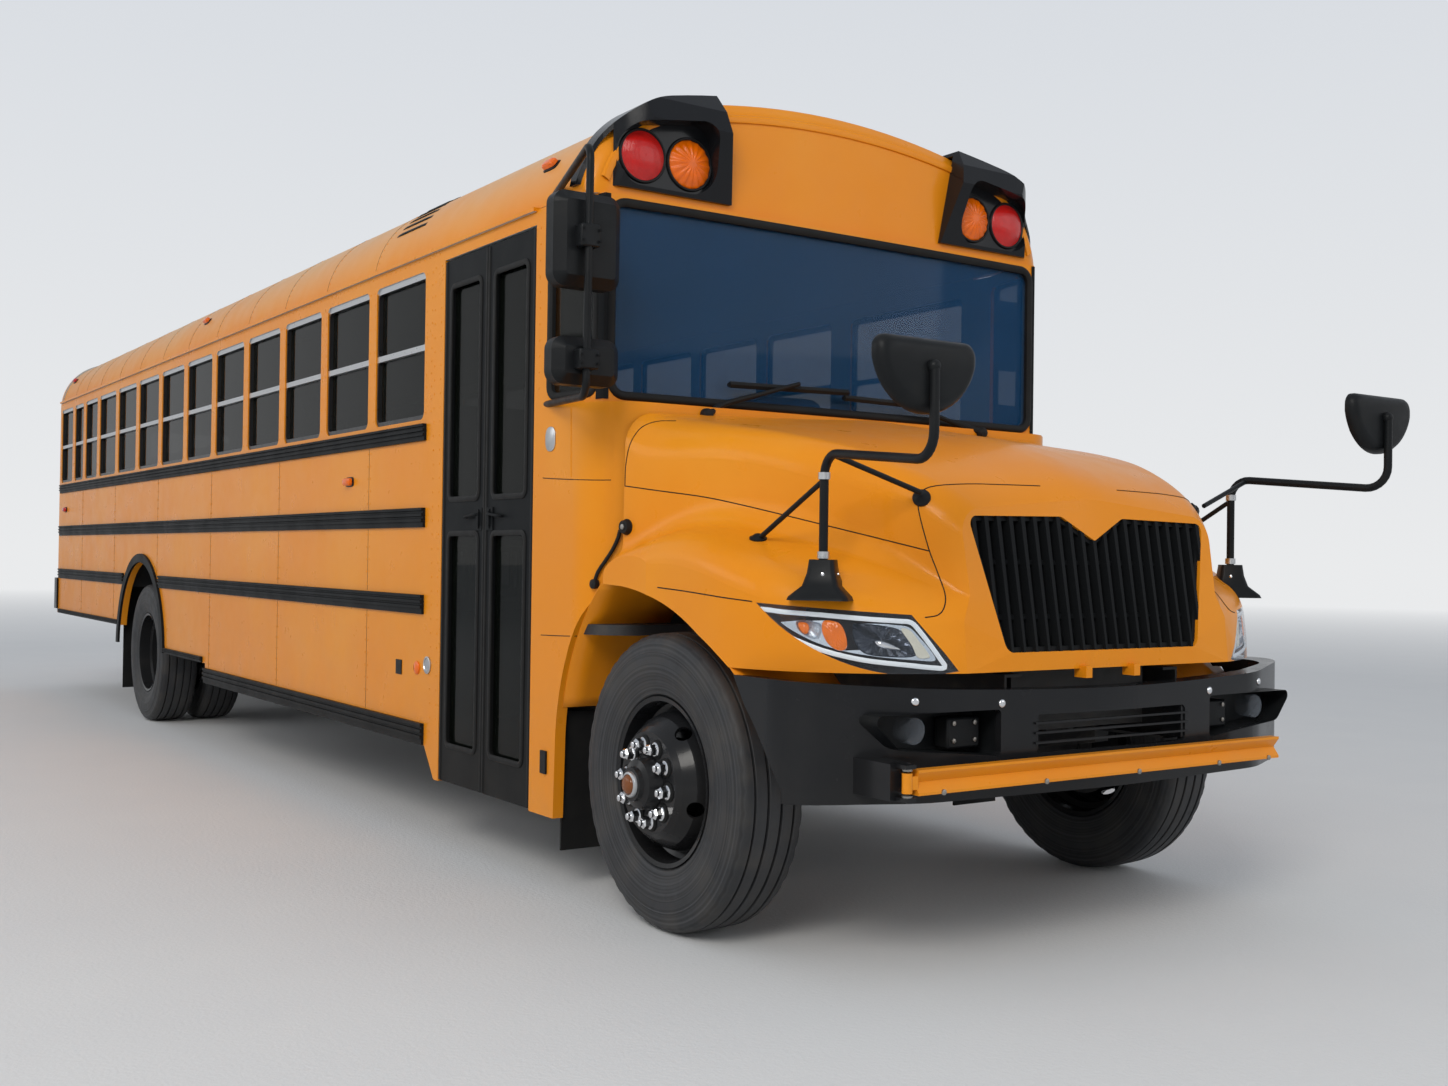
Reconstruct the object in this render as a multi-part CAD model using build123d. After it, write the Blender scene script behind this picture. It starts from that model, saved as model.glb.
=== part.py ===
"""School bus with its engine ahead of the windshield. Millimetres.

X is the width, and +X is the bus's left side. Y runs to the rear and Z is up.
Sizes are written with Y = 0 at the front axle, and every piece is moved by
SHIFT_Y as it is written, so that the origin is under the middle of the bus.
"""

from build123d import *
from math import cos, radians, sin, sqrt
import os

os.makedirs("parts", exist_ok=True)

# Whole vehicle
WHEELBASE = 7450
HALF_WIDTH = 1219
FRONT_MOST = -1336
BUMPER_REAR = 10930
SHIFT_Y = -(FRONT_MOST + BUMPER_REAR) / 2
WALL = 45
INNER = HALF_WIDTH - WALL

# Body stations along Y
COWL_FRONT = 350
DOOR_FRONT = 905
DOOR_REAR = 1800
REAR_CAP = 10740
BODY_REAR = 10850

# Heights
FLOOR_TOP = 1050
FLOOR_UNDER = 1010
SILL_UNDER = 940
SKIRT = 430
DOOR_SILL = 290
DOOR_HEAD = 2630
EAVES = 2700
WINDOW_LOW = 1930
WINDOW_HIGH = 2615
WINDOW_MIDDLE = 2265
HOOD_BASE = 955

# Roof arch: a wide crown arc between two shoulder arcs
CROWN_R = 3600
SHOULDER_R = 450
CROWN_APEX = 3188
ROOF_INSET = 12

# Side windows: the first opening's front edge, and the pitch of each window
FIRST_POST = 1969
POST_WIDTH = 100
WINDOW_PITCHES = [711] * 10 + [581, 475, 615]

# Wheels
TYRE_R = 522.5
TYRE_HALF_WIDTH = 140
BEAD_R = 290
FLANGE_R = 298
HUB_Z = 522.5
FRONT_TRACK_HALF = 1050
DISC_OFFSET = 168
REAR_MOUNT = 877
KINGPIN_X = 900

# Chassis
RAIL_OUT = 432
RAIL_TOP = 940
RAIL_UNDER = 686


def box(x0, x1, y0, y1, z0, z1):
    """A box between two corners."""
    middle = Pos((x0 + x1) / 2, (y0 + y1) / 2, (z0 + z1) / 2)
    return middle * Box(x1 - x0, y1 - y0, z1 - z0)


def side_prism(face, x0, x1):
    """A prism between two X planes, from an outline drawn in Y and Z."""
    return Pos(x0, 0, 0) * extrude(Plane.YZ * face, amount=x1 - x0, dir=(1, 0, 0))


def front_prism(face, y0, y1):
    """A prism between two Y planes, from an outline drawn in X and Z."""
    return Pos(0, y0, 0) * extrude(Plane.XZ * face, amount=y1 - y0, dir=(0, 1, 0))


def plan_prism(face, z0, z1):
    """A prism between two heights, from an outline drawn in X and Y."""
    return Pos(0, 0, z0) * extrude(face, amount=z1 - z0, dir=(0, 0, 1))


def outline(*points, radius=0):
    """A closed outline with rounded corners."""
    if radius == 0:
        return make_face(Polyline(*points, close=True))
    return make_face(FilletPolyline(*points, radius=radius, close=True))


def window_outline(low, high, bottom, top, corner=40):
    """A rounded rectangle between two corners."""
    middle = Pos((low + high) / 2, (bottom + top) / 2)
    return middle * RectangleRounded(high - low, top - bottom, corner)


def flip(shape):
    """The same piece on the bus's other side."""
    return mirror(shape, about=Plane.YZ)


def pair(shape):
    """A piece and its twin on the other side."""
    return [shape, flip(shape)]


def group(solids):
    """Separate solids that share a node."""
    return Compound([s for item in solids for s in item.solids()])


def rod(start, end, radius):
    """A straight round bar between two points."""
    axis = Vector(*end) - Vector(*start)
    return extrude(Plane(origin=start, z_dir=axis) * Circle(radius), amount=axis.length)


def tube(points, bends, radius):
    """A bent round bar along straight runs and arcs."""
    path = FilletPolyline(*points, radius=bends)
    return sweep(Plane(origin=path @ 0, z_dir=path % 0) * Circle(radius), path=path)


# Roof arch


def arch_face(inset, low):
    """The section of the body above a height, as far inside the skin as inset says."""
    side = HALF_WIDTH - inset
    shoulder_r = SHOULDER_R - inset
    crown_r = CROWN_R - inset
    shoulder_x = HALF_WIDTH - SHOULDER_R
    crown_z = CROWN_APEX - CROWN_R
    rise = sqrt((CROWN_R - SHOULDER_R) ** 2 - shoulder_x ** 2)
    shoulder_z = crown_z + rise
    reach = CROWN_R - SHOULDER_R
    tangent = (crown_r * shoulder_x / reach, crown_z + crown_r * rise / reach)

    def on_shoulder(angle):
        return (
            shoulder_x + shoulder_r * cos(radians(angle)),
            shoulder_z + shoulder_r * sin(radians(angle)),
        )

    if low < shoulder_z:
        foot = (side, shoulder_z)
    else:
        foot = (shoulder_x + sqrt(shoulder_r ** 2 - (low - shoulder_z) ** 2), low)
    middle = on_shoulder(40)
    crown = (0, CROWN_APEX - inset)

    def left(point):
        return (-point[0], point[1])

    edges = [
        ThreePointArc(foot, middle, tangent),
        ThreePointArc(tangent, crown, left(tangent)),
        ThreePointArc(left(tangent), left(middle), left(foot)),
    ]
    if low < shoulder_z:
        edges.append(Polyline(left(foot), (-side, low), (side, low), foot))
    else:
        edges.append(Line(left(foot), foot))
    return make_face(edges)


def window_spans():
    """Front and rear edge of each side window."""
    spans = []
    post = FIRST_POST
    for pitch in WINDOW_PITCHES:
        spans.append((post + POST_WIDTH / 2, post + pitch - POST_WIDTH / 2))
        post += pitch
    return spans


DRIVER_WINDOW = (985, 1850)
# Stop arm's hinge: Y, and the sleeve's lower and upper end
STOP_HINGE = (1190, 1580, 1740)
HATCHES = (3600, 8200)
HATCH_HALF = 290
REAR_ARCH_R = 690
GUTTER = 16
REAR_ARCH_TRIM = 755


def rear_arch(x0, x1, radius):
    """The round opening over the rear wheels."""
    return rod((x0, WHEELBASE, HUB_Z), (x1, WHEELBASE, HUB_Z), radius)


def side_wall(door_side):
    """One side of the body with its windows and wheel arch cut."""
    skirt = [
        (1960, SKIRT), (5630, SKIRT), (5630, 560), (8100, 560), (8100, 700),
        (REAR_CAP, 700), (REAR_CAP, EAVES),
    ]
    if door_side:
        front = [(1850, DOOR_SILL), (DOOR_REAR, DOOR_SILL), (DOOR_REAR, EAVES)]
    else:
        front = [(DOOR_FRONT, SKIRT), (DOOR_FRONT, EAVES)]
    edge = front[::-1] + skirt
    wall = side_prism(outline(*edge), INNER, HALF_WIDTH)
    spans = window_spans() + ([] if door_side else [DRIVER_WINDOW])
    for low, high in spans:
        hole = window_outline(low, high, WINDOW_LOW, WINDOW_HIGH)
        wall -= side_prism(hole, INNER - 10, HALF_WIDTH + 10)
    wall -= rear_arch(INNER - 10, HALF_WIDTH + 10, REAR_ARCH_R)
    start = DOOR_REAR if door_side else DOOR_FRONT
    wall += box(HALF_WIDTH, HALF_WIDTH + GUTTER, start, REAR_CAP, EAVES - GUTTER, EAVES)
    if not door_side:
        y, low, high = STOP_HINGE
        wall += box(HALF_WIDTH, 1232, y - 14, y + 14, low - 34, high + 34)
        for z in (low - 34, high + 20):
            wall += box(HALF_WIDTH, 1282, y - 14, y + 14, z, z + 14)
    return flip(wall) if door_side else wall


def door_header():
    """The beam over the door, with the gutter along it."""
    beam = box(-HALF_WIDTH, -INNER, DOOR_FRONT, DOOR_REAR, DOOR_HEAD, EAVES)
    return beam + box(-HALF_WIDTH - GUTTER, -HALF_WIDTH, DOOR_FRONT, DOOR_REAR, EAVES - GUTTER, EAVES)


def roof():
    """The roof arch with the raised frames of its two hatches."""
    shell = front_prism(arch_face(ROOF_INSET, EAVES), CAP_REAR, REAR_CAP)
    shell -= front_prism(arch_face(ROOF_INSET + WALL, EAVES - 5), CAP_REAR - 5, REAR_CAP + 5)
    for y in HATCHES:
        frame = box(-HATCH_HALF, HATCH_HALF, y - HATCH_HALF, y + HATCH_HALF, 3120, 3190)
        hole = HATCH_HALF - 40
        shell += frame
        shell -= box(-hole, hole, y - hole, y + hole, 3000, 3300)
    return shell


def roof_hatch(y):
    """A hatch lid whose rim laps over its frame at the rear and at both sides."""
    width = 2 * HATCH_HALF + 40
    lid = Pos(0, y, 3181) * extrude(RectangleRounded(width, width, 60), 55)
    lid = fillet(lid.faces().sort_by(Axis.Z)[-1].edges(), 18)
    reach = HATCH_HALF + 7
    lid -= box(-reach, reach, y - 400, y + reach, 3170, 3196)
    return lid


# Front cap and its lamp hoods

CAP_FRONT = 410
CAP_REAR = 620
CAP_LOW = 2690
LAMP_Z = 2857
LAMP_R = 100
LAMP_XS = (765, 980)


def front_cap():
    """The yellow cap over the windshield, rounded into the roof."""
    cap = front_prism(arch_face(0, CAP_LOW), CAP_FRONT, CAP_REAR)
    front = cap.edges().filter_by(lambda e: abs(e.center().Y - CAP_FRONT) < 1)
    front = front.filter_by(lambda e: e.center().Z > CAP_LOW + 5)
    cap = fillet(front, 100)
    cap -= front_prism(arch_face(WALL, CAP_LOW - 5), CAP_FRONT + WALL, CAP_REAR + 5)
    return cap


def lamp_hood():
    """A black hood round one pair of front lamps, deeper at the top as a visor."""
    side = outline(
        (CAP_REAR, 2724), (392, 2724), (318, 2985), (335, 3070), (430, 3230), (CAP_REAR, 3230),
    )
    hood = side_prism(side, 540, 1240)
    hood &= front_prism(arch_face(-16, 2724), 300, CAP_REAR)
    plan = outline(
        (400, 300), (1010, 300), (1236, 560), (1236, 700), (400, 700), radius=[0.1, 260, 90, 0.1, 0.1],
    )
    hood &= plan_prism(plan, 2700, 3300)
    inner_edge = outline((560, 2700), (672, 3230), (400, 3230), (400, 2700))
    hood -= front_prism(inner_edge, 290, 650)
    hood -= front_prism(arch_face(0, CAP_LOW - 10), CAP_FRONT, CAP_REAR + 20)
    low, high = LAMP_XS
    pocket = outline(
        (low - 118, LAMP_Z - 118), (high + 118, LAMP_Z - 118),
        (high + 112, LAMP_Z + 100), (low - 80, LAMP_Z + 165), radius=[100, 100, 100, 70],
    )
    hood -= front_prism(pocket, 280, CAP_FRONT - 12)
    return hood


def lens(x, y, z, radius, depth, facing=-1):
    """A round lamp with a domed lens, facing along Y."""
    profile = outline((0, 0), (radius, 0), (radius, depth * 0.45), (radius * 0.72, depth * 0.85), (0, depth))
    dome = revolve(Plane.XZ * profile, Axis.Z)
    turn = 90 if facing < 0 else -90
    return Pos(x, y, z) * Rot(turn, 0, 0) * dome


# Cowl, windshield and corner windows

GLASS_SIDE = (1150, 470)
GLASS_BOW = 395
CORNER_REAR = 790
ARCH_FRONT_R = 1200


def front_arch_face():
    """The opening over a front wheel, drawn in Y and Z."""
    top = [(-760, 600), (-471, 940), (-288, 1051), (-33, 1159), (206, 1202), (388, 1209)]
    start, near, middle, late, crest, corner = top
    return make_face([
        Line((-760, 100), start),
        ThreePointArc(start, near, middle),
        ThreePointArc(middle, late, crest),
        Line(crest, corner),
        ThreePointArc(corner, (574, 988), (690, 560)),
        Line((690, 560), (706, 100)),
        Line((706, 100), (-760, 100)),
    ])


def cowl_plan(inset, rear):
    """Plan of the lower cowl: flat sides, rounded front corners."""
    side = HALF_WIDTH - inset
    front = COWL_FRONT + inset
    return outline(
        (-side, rear), (-side, front), (side, front), (side, rear),
        radius=[0.1, 220 - inset, 220 - inset, 0.1],
    )


def glazed_plan(inset, rear):
    """Plan of the body above the belt: tapered corners and a bowed front."""
    side, front = GLASS_SIDE
    bow = ThreePointArc(
        (-side + inset, front + inset), (0, GLASS_BOW + inset), (side - inset, front + inset),
    )
    sides = Polyline(
        (side - inset, front + inset), (HALF_WIDTH - inset, CORNER_REAR), (HALF_WIDTH - inset, rear),
        (-HALF_WIDTH + inset, rear), (-HALF_WIDTH + inset, CORNER_REAR), (-side + inset, front + inset),
    )
    return make_face([bow, sides])


def cowl():
    """The body ahead of the doors: firewall, side panels and the windshield frame."""
    lower = plan_prism(cowl_plan(0, DOOR_FRONT), DOOR_SILL, 1890)
    lower -= plan_prism(cowl_plan(WALL, DOOR_FRONT + 5), DOOR_SILL - 5, 1860)
    lower -= box(-INNER, INNER, 300, 1000, 200, FLOOR_TOP)
    lower -= side_prism(front_arch_face(), -1300, -600)
    lower -= side_prism(front_arch_face(), 600, 1300)
    upper = plan_prism(glazed_plan(0, DOOR_FRONT), 1890, CAP_LOW)
    upper -= plan_prism(glazed_plan(WALL, DOOR_FRONT + 5), 1800, CAP_LOW + 5)
    front_hole = window_outline(-1125, 1125, 1915, 2645, 70)
    upper -= front_prism(front_hole, 300, 560)
    corner_hole = side_prism(window_outline(520, 780, 1930, 2640, 40), 1100, 1300)
    upper -= corner_hole
    upper -= flip(corner_hole)
    opening = plan_prism(glazed_plan(WALL, DOOR_FRONT + 5), 1850, 1900)
    return lower + upper - opening


def glazing():
    """A sheet of glass that follows the body above the belt."""
    sheet = plan_prism(glazed_plan(16, DOOR_FRONT), 1900, 2660)
    return sheet - plan_prism(glazed_plan(23, DOOR_FRONT + 10), 1890, 2670)


def windshield():
    """The bowed windshield, seated in the middle of its frame."""
    return glazing() & front_prism(window_outline(-1125, 1125, 1915, 2645, 70), 300, 560)


def corner_glass():
    """The narrow window between the windshield and the side."""
    return glazing() & side_prism(window_outline(520, 780, 1930, 2640, 40), 1100, 1300)


# Hood with its fenders: sections from the cowl to the nose
# Columns: Y, crown Z, shoulder X and Z, waist X and Z, fender top Z, side X, radii of
# the fender, waist, shoulder and crown corners

HOOD_SECTIONS = [
    (338, 1880, 1128, 1846, 1134, 1330, 1262, 1216, 40, 60, 130, 900),
    (0, 1832, 1020, 1786, 1020, 1430, 1362, 1214, 110, 110, 130, 900),
    (-380, 1774, 890, 1716, 886, 1400, 1336, 1204, 120, 110, 120, 900),
    (-640, 1722, 796, 1650, 788, 1346, 1250, 1136, 110, 100, 110, 900),
    (-780, 1680, 740, 1604, 730, 1304, 1200, 1030, 100, 80, 100, 900),
    (-890, 1630, 690, 1552, 680, 1250, 1156, 880, 80, 50, 100, 900),
    (-985, 1530, 620, 1474, 612, 1200, 1120, 650, 24, 24, 90, 900),
]
NOSE_Y = -985


def hood_section(row, inset, low):
    """One section across the hood, as far inside the skin as inset says."""
    y, crown_z, shoulder_x, shoulder_z, waist_x, waist_z, fender_z, side_x = row[:8]
    fender_r, waist_r, shoulder_r, crown_r = row[8:]
    right = [
        (side_x - inset, low),
        (side_x - inset, fender_z - inset),
        (waist_x - inset, waist_z - inset),
        (shoulder_x - inset, shoulder_z - inset),
    ]
    points = right + [(0, crown_z - inset)] + [(-x, z) for x, z in right[::-1]]
    corner_radii = [fender_r, waist_r, shoulder_r]
    radii = [0.1] + corner_radii + [crown_r] + corner_radii[::-1] + [0.1]
    return Pos(0, y, 0) * (Plane.XZ * outline(*points, radius=radii))


def hood_body(inset, low, rows):
    return loft([hood_section(row, inset, low) for row in rows])


GRILLE = [
    (-587, 1456), (-152, 1464), (0, 1384), (152, 1464), (587, 1456), (474, 1015), (-474, 1015),
]
GRILLE_RADII = [30, 40, 12, 40, 30, 40, 40]

LAMP_TURN = 40
LAMP_EDGE = [(-530, 1168), (-30, 1138), (108, 962)]
LAMP_SAG = (-260, 990)


def headlamp_prism(depth):
    """The headlamp's outline, swept in along the direction that the fender faces."""
    tip, top, bottom = LAMP_EDGE
    face = make_face([Line(tip, top), Line(top, bottom), ThreePointArc(bottom, LAMP_SAG, tip)])
    turn = radians(LAMP_TURN)
    facing = Vector(-sin(turn), -cos(turn), 0)
    plane = Plane(origin=facing * 1400, x_dir=(cos(turn), -sin(turn), 0), z_dir=facing)
    return extrude(plane * face, amount=depth, dir=-facing)


def between_sides(shape, half):
    return shape & box(-half, half, -1400, 500, 800, 2000)


def hood_outer():
    return between_sides(hood_body(0, HOOD_BASE, HOOD_SECTIONS), 1217)


def hood_inner():
    """The hollow under the hood: the same sections, set in by the skin's thickness."""
    rows = [(345,) + HOOD_SECTIONS[0][1:]] + HOOD_SECTIONS[1:-1]
    last = (-950, 1570, 640, 1500, 632, 1220, 1130, 720, 30, 30, 90, 900)
    return between_sides(hood_body(14, HOOD_BASE - 20, rows + [last]), 1203)


def hood(outer, inner):
    shell = outer - inner
    arch = side_prism(front_arch_face(), 640, 1300)
    shell -= arch
    shell -= flip(arch)
    shell -= front_prism(outline(*GRILLE, radius=GRILLE_RADII), -1100, -900)
    lamp = headlamp_prism(760)
    shell -= lamp
    shell -= flip(lamp)
    lug = box(105, 135, -1012, -960, 925, 965)
    for piece in pair(lug):
        shell += piece
    return shell


def headlamp(outer):
    """The lens body that fills the opening, flush with the fender's skin."""
    inset = hood_body(42, HOOD_BASE - 20, HOOD_SECTIONS)
    return (headlamp_prism(760) & outer) - inset


def grille():
    """Upright slats in a rim that follows the opening, with a point at the top middle."""
    shape = outline(*GRILLE, radius=GRILLE_RADII)
    rim = front_prism(shape, -972, -948) - front_prism(offset(shape, -16), -980, -940)
    slats = []
    count = 21
    for i in range(count):
        x = -560 + 1120 * i / (count - 1)
        slats.append(front_prism(outline((x - 5, 990), (x + 5, 990), (x + 9, 1480), (x - 9, 1480)), -984, -950))
    field = front_prism(shape, -990, -940)
    body = rim
    for slat in slats:
        body += slat & field
    for z in (1120, 1300):
        body += box(-600, 600, -956, -948, z, z + 16) & field
    return body


def cross_view_mirror(skin):
    """A round-bottomed mirror on a bent tube, standing on a flared base on the fender."""
    base = Pos(1011, -703, 1185) * extrude(Circle(95), 12)
    base += Pos(1011, -703, 1197) * revolve(Plane.XZ * make_face([
        Line((0, 0), (80, 0)), RadiusArc((80, 0), (42, 95), -130), Line((42, 95), (0, 95)), Line((0, 95), (0, 0)),
    ]), Axis.Z)
    arm = tube(
        [(1011, -703, 1280), (1011, -703, 1645), (1190, -1290, 1612), (1190, -1290, 1800)], [70, 90], 15,
    )
    shell_face = make_face([
        Line((-145, 95), (145, 95)), Line((145, 95), (145, 20)),
        ThreePointArc((145, 20), (0, -120), (-145, 20)), Line((-145, 20), (-145, 95)),
    ])
    shell_face = fillet(shell_face.vertices().filter_by(lambda v: abs(v.Y - 95) < 1), 35)
    head = extrude(shell_face, 46)
    head = fillet(head.faces().sort_by(Axis.Z)[-1].edges(), 30)
    head = Pos(1190, -1290, 1840) * Rot(90, 0, 0) * head
    stay_rear = rod((1011, -703, 1560), (1040, -430, 1350), 9)
    stay_inner = rod((1030, -760, 1630), (690, -700, 1640), 9)
    body = (base + arm + stay_rear + stay_inner) - skin
    return body + head


# Doors

LEAF_GAP = 10
LEAF_TOP = 2620
LEAF_LOW = 297
LEAF_IN = 1175
LEAF_OUT = 1215
LEAF_WIDTH = (DOOR_REAR - DOOR_FRONT - 3 * LEAF_GAP) / 2
LEAF_FRAME = 62


def door_leaf(y0):
    """One leaf with two openings, a middle rail and a pull handle."""
    leaf = box(-LEAF_OUT, -LEAF_IN, y0, y0 + LEAF_WIDTH, LEAF_LOW, LEAF_TOP)
    low, high = y0 + LEAF_FRAME, y0 + LEAF_WIDTH - LEAF_FRAME
    for bottom, top in ((460, 1400), (1550, 2500)):
        hole = window_outline(low, high, bottom, top, 30)
        leaf -= side_prism(hole, -LEAF_OUT - 5, -LEAF_IN + 5)
    return leaf


def door_glass(y0):
    low, high = y0 + LEAF_FRAME, y0 + LEAF_WIDTH - LEAF_FRAME
    return group([
        side_prism(window_outline(low, high, bottom, top, 30), -1198, -1192)
        for bottom, top in ((460, 1400), (1550, 2500))
    ])


REAR_DOOR_HALF = 480
REAR_DOOR_TOP = 2560
REAR_DOOR_LOW = 1052


def rear_wall():
    """The back of the body with the emergency door's opening and two windows."""
    cap = front_prism(arch_face(0, 700), REAR_CAP, BODY_REAR)
    back = cap.edges().filter_by(lambda e: abs(e.center().Y - BODY_REAR) < 1)
    cap = fillet(back, 80)
    cap -= front_prism(arch_face(WALL, 690), REAR_CAP - 5, BODY_REAR - WALL)
    cap -= box(-REAR_DOOR_HALF, REAR_DOOR_HALF, 10750, 10900, REAR_DOOR_LOW - 12, REAR_DOOR_TOP + 6)
    pane = front_prism(window_outline(600, 1060, WINDOW_LOW, 2500), 10750, 10900)
    cap -= pane
    cap -= flip(pane)
    return cap


def rear_door():
    """The emergency door with its two windows and the hinge lugs on its side."""
    half = REAR_DOOR_HALF - 6
    door = box(-half, half, BODY_REAR - 42, BODY_REAR, REAR_DOOR_LOW, REAR_DOOR_TOP)
    for bottom, top in ((1180, 1620), (1900, 2480)):
        door -= front_prism(window_outline(-half + 80, half - 80, bottom, top), 10750, 10900)
    door += box(330, 420, BODY_REAR, BODY_REAR + 40, 1720, 1750)
    return door


def rear_door_glass():
    half = REAR_DOOR_HALF - 86
    return group([
        front_prism(window_outline(-half, half, bottom, top), BODY_REAR - 26, BODY_REAR - 20)
        for bottom, top in ((1180, 1620), (1900, 2480))
    ])


# Glass, frames and rails along the sides


def side_glass():
    """Every fixed pane behind the windshield."""
    panes = []
    for low, high in window_spans():
        panes += pair(side_prism(window_outline(low, high, WINDOW_LOW, WINDOW_HIGH), 1186, 1191))
    low, high = DRIVER_WINDOW
    panes.append(side_prism(window_outline(low, high, WINDOW_LOW, WINDOW_HIGH), 1186, 1191))
    panes += pair(corner_glass())
    panes += pair(front_prism(window_outline(600, 1060, WINDOW_LOW, 2500), BODY_REAR - 26, BODY_REAR - 20))
    return group(panes)


def window_frame(low, high):
    """A sash frame with a rail across its middle."""
    hole = window_outline(low, high, WINDOW_LOW, WINDOW_HIGH)
    frame = side_prism(hole, 1191, 1212)
    for bottom, top in ((WINDOW_LOW + 22, WINDOW_MIDDLE - 14), (WINDOW_MIDDLE + 14, WINDOW_HIGH - 30)):
        frame -= side_prism(window_outline(low + 14, high - 14, bottom, top, 26), 1180, 1220)
    return frame


def window_frames():
    frames = []
    for low, high in window_spans():
        frames += pair(window_frame(low, high))
    frames.append(window_frame(*DRIVER_WINDOW))
    return group(frames)


# Columns: bottom Z, top Z, then the stretches along Y on the door side
RAILS = [
    (1830, 1908, [(1985, 10700)]),
    (1430, 1520, [(1985, 10700)]),
    (1030, 1119, [(1985, 6880), (8020, 10700)]),
    (432, 530, [(1965, 5626)]),
    (562, 600, [(5690, 6690)]),
    (702, 740, [(8190, 10690)]),
]


def ribbed_bar(bottom, top, y0, y1):
    """A pressed rail with three ribs."""
    step = (top - bottom) / 7
    out = HALF_WIDTH + 20
    points = [(HALF_WIDTH, bottom), (HALF_WIDTH, top)]
    for i in range(3):
        high = top - 2 * i * step
        points += [(out, high), (out, high - step)]
        if i < 2:
            points += [(out - 8, high - step * 1.2), (out - 8, high - step * 1.8)]
    points.append((out - 8, points[-1][1]))
    points.append((out - 8, bottom))
    return front_prism(outline(*points), y0, y1)


def arch_trim():
    ring = rear_arch(HALF_WIDTH, HALF_WIDTH + 18, REAR_ARCH_TRIM) - rear_arch(HALF_WIDTH - 5, 1300, REAR_ARCH_R)
    return ring & box(1200, 1300, 6000, 9000, 562, 1400)


def rub_rails():
    bars = []
    for bottom, top, stretches in RAILS:
        for y0, y1 in stretches:
            bars.append(flip(ribbed_bar(bottom, top, y0, y1)))
            start = 985 if y0 < 2000 else y0
            bars.append(ribbed_bar(bottom, top, start, y1))
    bars += pair(arch_trim())
    return group(bars)


# Floor, steps and seats


def floor():
    """Floor plate with its sills and the boxes over the rear wheels."""
    plate = plan_prism(cowl_plan(WALL, BODY_REAR - WALL), FLOOR_UNDER, FLOOR_TOP)
    plate -= box(-INNER - 5, -540, DOOR_FRONT - 20, DOOR_REAR + 20, 900, 1100)
    for y in range(2680, 10600, 711):
        if 6780 < y < 8120:
            continue
        plate += box(-1150, 1150, y - 30, y + 30, SILL_UNDER, FLOOR_UNDER)
    for sign in (-1, 1):
        x0, x1 = sorted((sign * 510, sign * INNER))
        plate += box(x0, x1, 6860, 8040, FLOOR_UNDER, 1290)
        x0, x1 = sorted((sign * 540, sign * (INNER + 5)))
        plate -= box(x0, x1, 6890, 8010, 900, 1260)
    return plate


STEPS = [(330, -1160, -960), (570, -960, -760), (810, -760, -560)]


def stepwell():
    """Three steps up from the door, between two side plates."""
    top = [(-1160, 330), (-960, 330), (-960, 570), (-760, 570), (-760, 810), (-560, 810), (-560, 1010)]
    under = [(-540, 1010), (-540, 790), (-740, 790), (-740, 550), (-940, 550), (-940, 310), (-1160, 310)]
    steps = front_prism(outline(*top, *under), DOOR_FRONT, DOOR_REAR)
    plate = outline((-1160, 310), (-940, 310), (-740, 550), (-540, 790), (-540, 1010), (-1160, 1010))
    for y in (DOOR_FRONT - 18, DOOR_REAR):
        steps += front_prism(plate, y, y + 18)
    return steps


SEAT_ROWS = 12
SEAT_FIRST = 2330
SEAT_PITCH = 711


def seat_bench(y):
    """One bench: a cushion and a high back."""
    cushion = Pos(665, y, 1382) * extrude(RectangleRounded(960, 400, 40), 110)
    back = front_prism(window_outline(185, 1145, 1400, 2080, 90), y + 210, y + 290)
    return [cushion, back]


def seat_frame(y):
    """The bench's frame: a plate under the cushion on two bent legs."""
    frame = box(200, 1130, y - 180, y + 190, 1352, 1380)
    for x in (260, 1060):
        leg = box(x, x + 24, y - 150, y + 150, FLOOR_TOP, 1352)
        leg -= box(x - 5, x + 30, y - 118, y + 118, FLOOR_TOP + 30, 1325)
        frame += leg
    return frame


def seats():
    solids = []
    for i in range(SEAT_ROWS):
        for piece in seat_bench(SEAT_FIRST + SEAT_PITCH * i):
            solids += pair(piece)
    return group(solids)


def seat_frames():
    frames = []
    for i in range(SEAT_ROWS):
        y = SEAT_FIRST + SEAT_PITCH * i
        over_wheel = 6860 < y < 8040
        frame = seat_frame(y)
        if over_wheel:
            frame -= box(500, INNER, y - 250, y + 250, 1040, 1291)
        frames += pair(frame)
    return group(frames)


WHEEL_X = 600
WHEEL_CENTRE = (WHEEL_X, 880, 1800)
COLUMN_TILT = 30


def driver_seat():
    pedestal = box(430, 770, 1230, 1560, FLOOR_TOP, 1400)
    cushion = Pos(WHEEL_X, 1390, 1402) * extrude(RectangleRounded(500, 480, 60), 110)
    back = front_prism(window_outline(WHEEL_X - 240, WHEEL_X + 240, 1470, 2150, 90), 1632, 1722)
    back += box(WHEEL_X - 30, WHEEL_X + 30, 1632, 1660, 1370, 1490)
    back += box(WHEEL_X - 30, WHEEL_X + 30, 1560, 1660, 1370, 1400)
    return group([pedestal, cushion, back])


def dashboard():
    """Dash with a hooded panel, and the steering column on it."""
    side = outline(
        (400, 1860), (640, 1840), (700, 1760), (660, 1520), (520, 1300), (400, 1300),
        radius=[0.1, 40, 40, 30, 30, 0.1],
    )
    dash = side_prism(side, -1100, 1100)
    dash &= plan_prism(cowl_plan(WALL + 1, 900), 1200, 1859)
    tilt = radians(COLUMN_TILT)
    x, y, z = WHEEL_CENTRE
    start = (x, y - 460 * sin(tilt), z - 460 * cos(tilt))
    end = (x, y - 39 * sin(tilt), z - 39 * cos(tilt))
    return dash + rod(start, end, 32)


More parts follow.
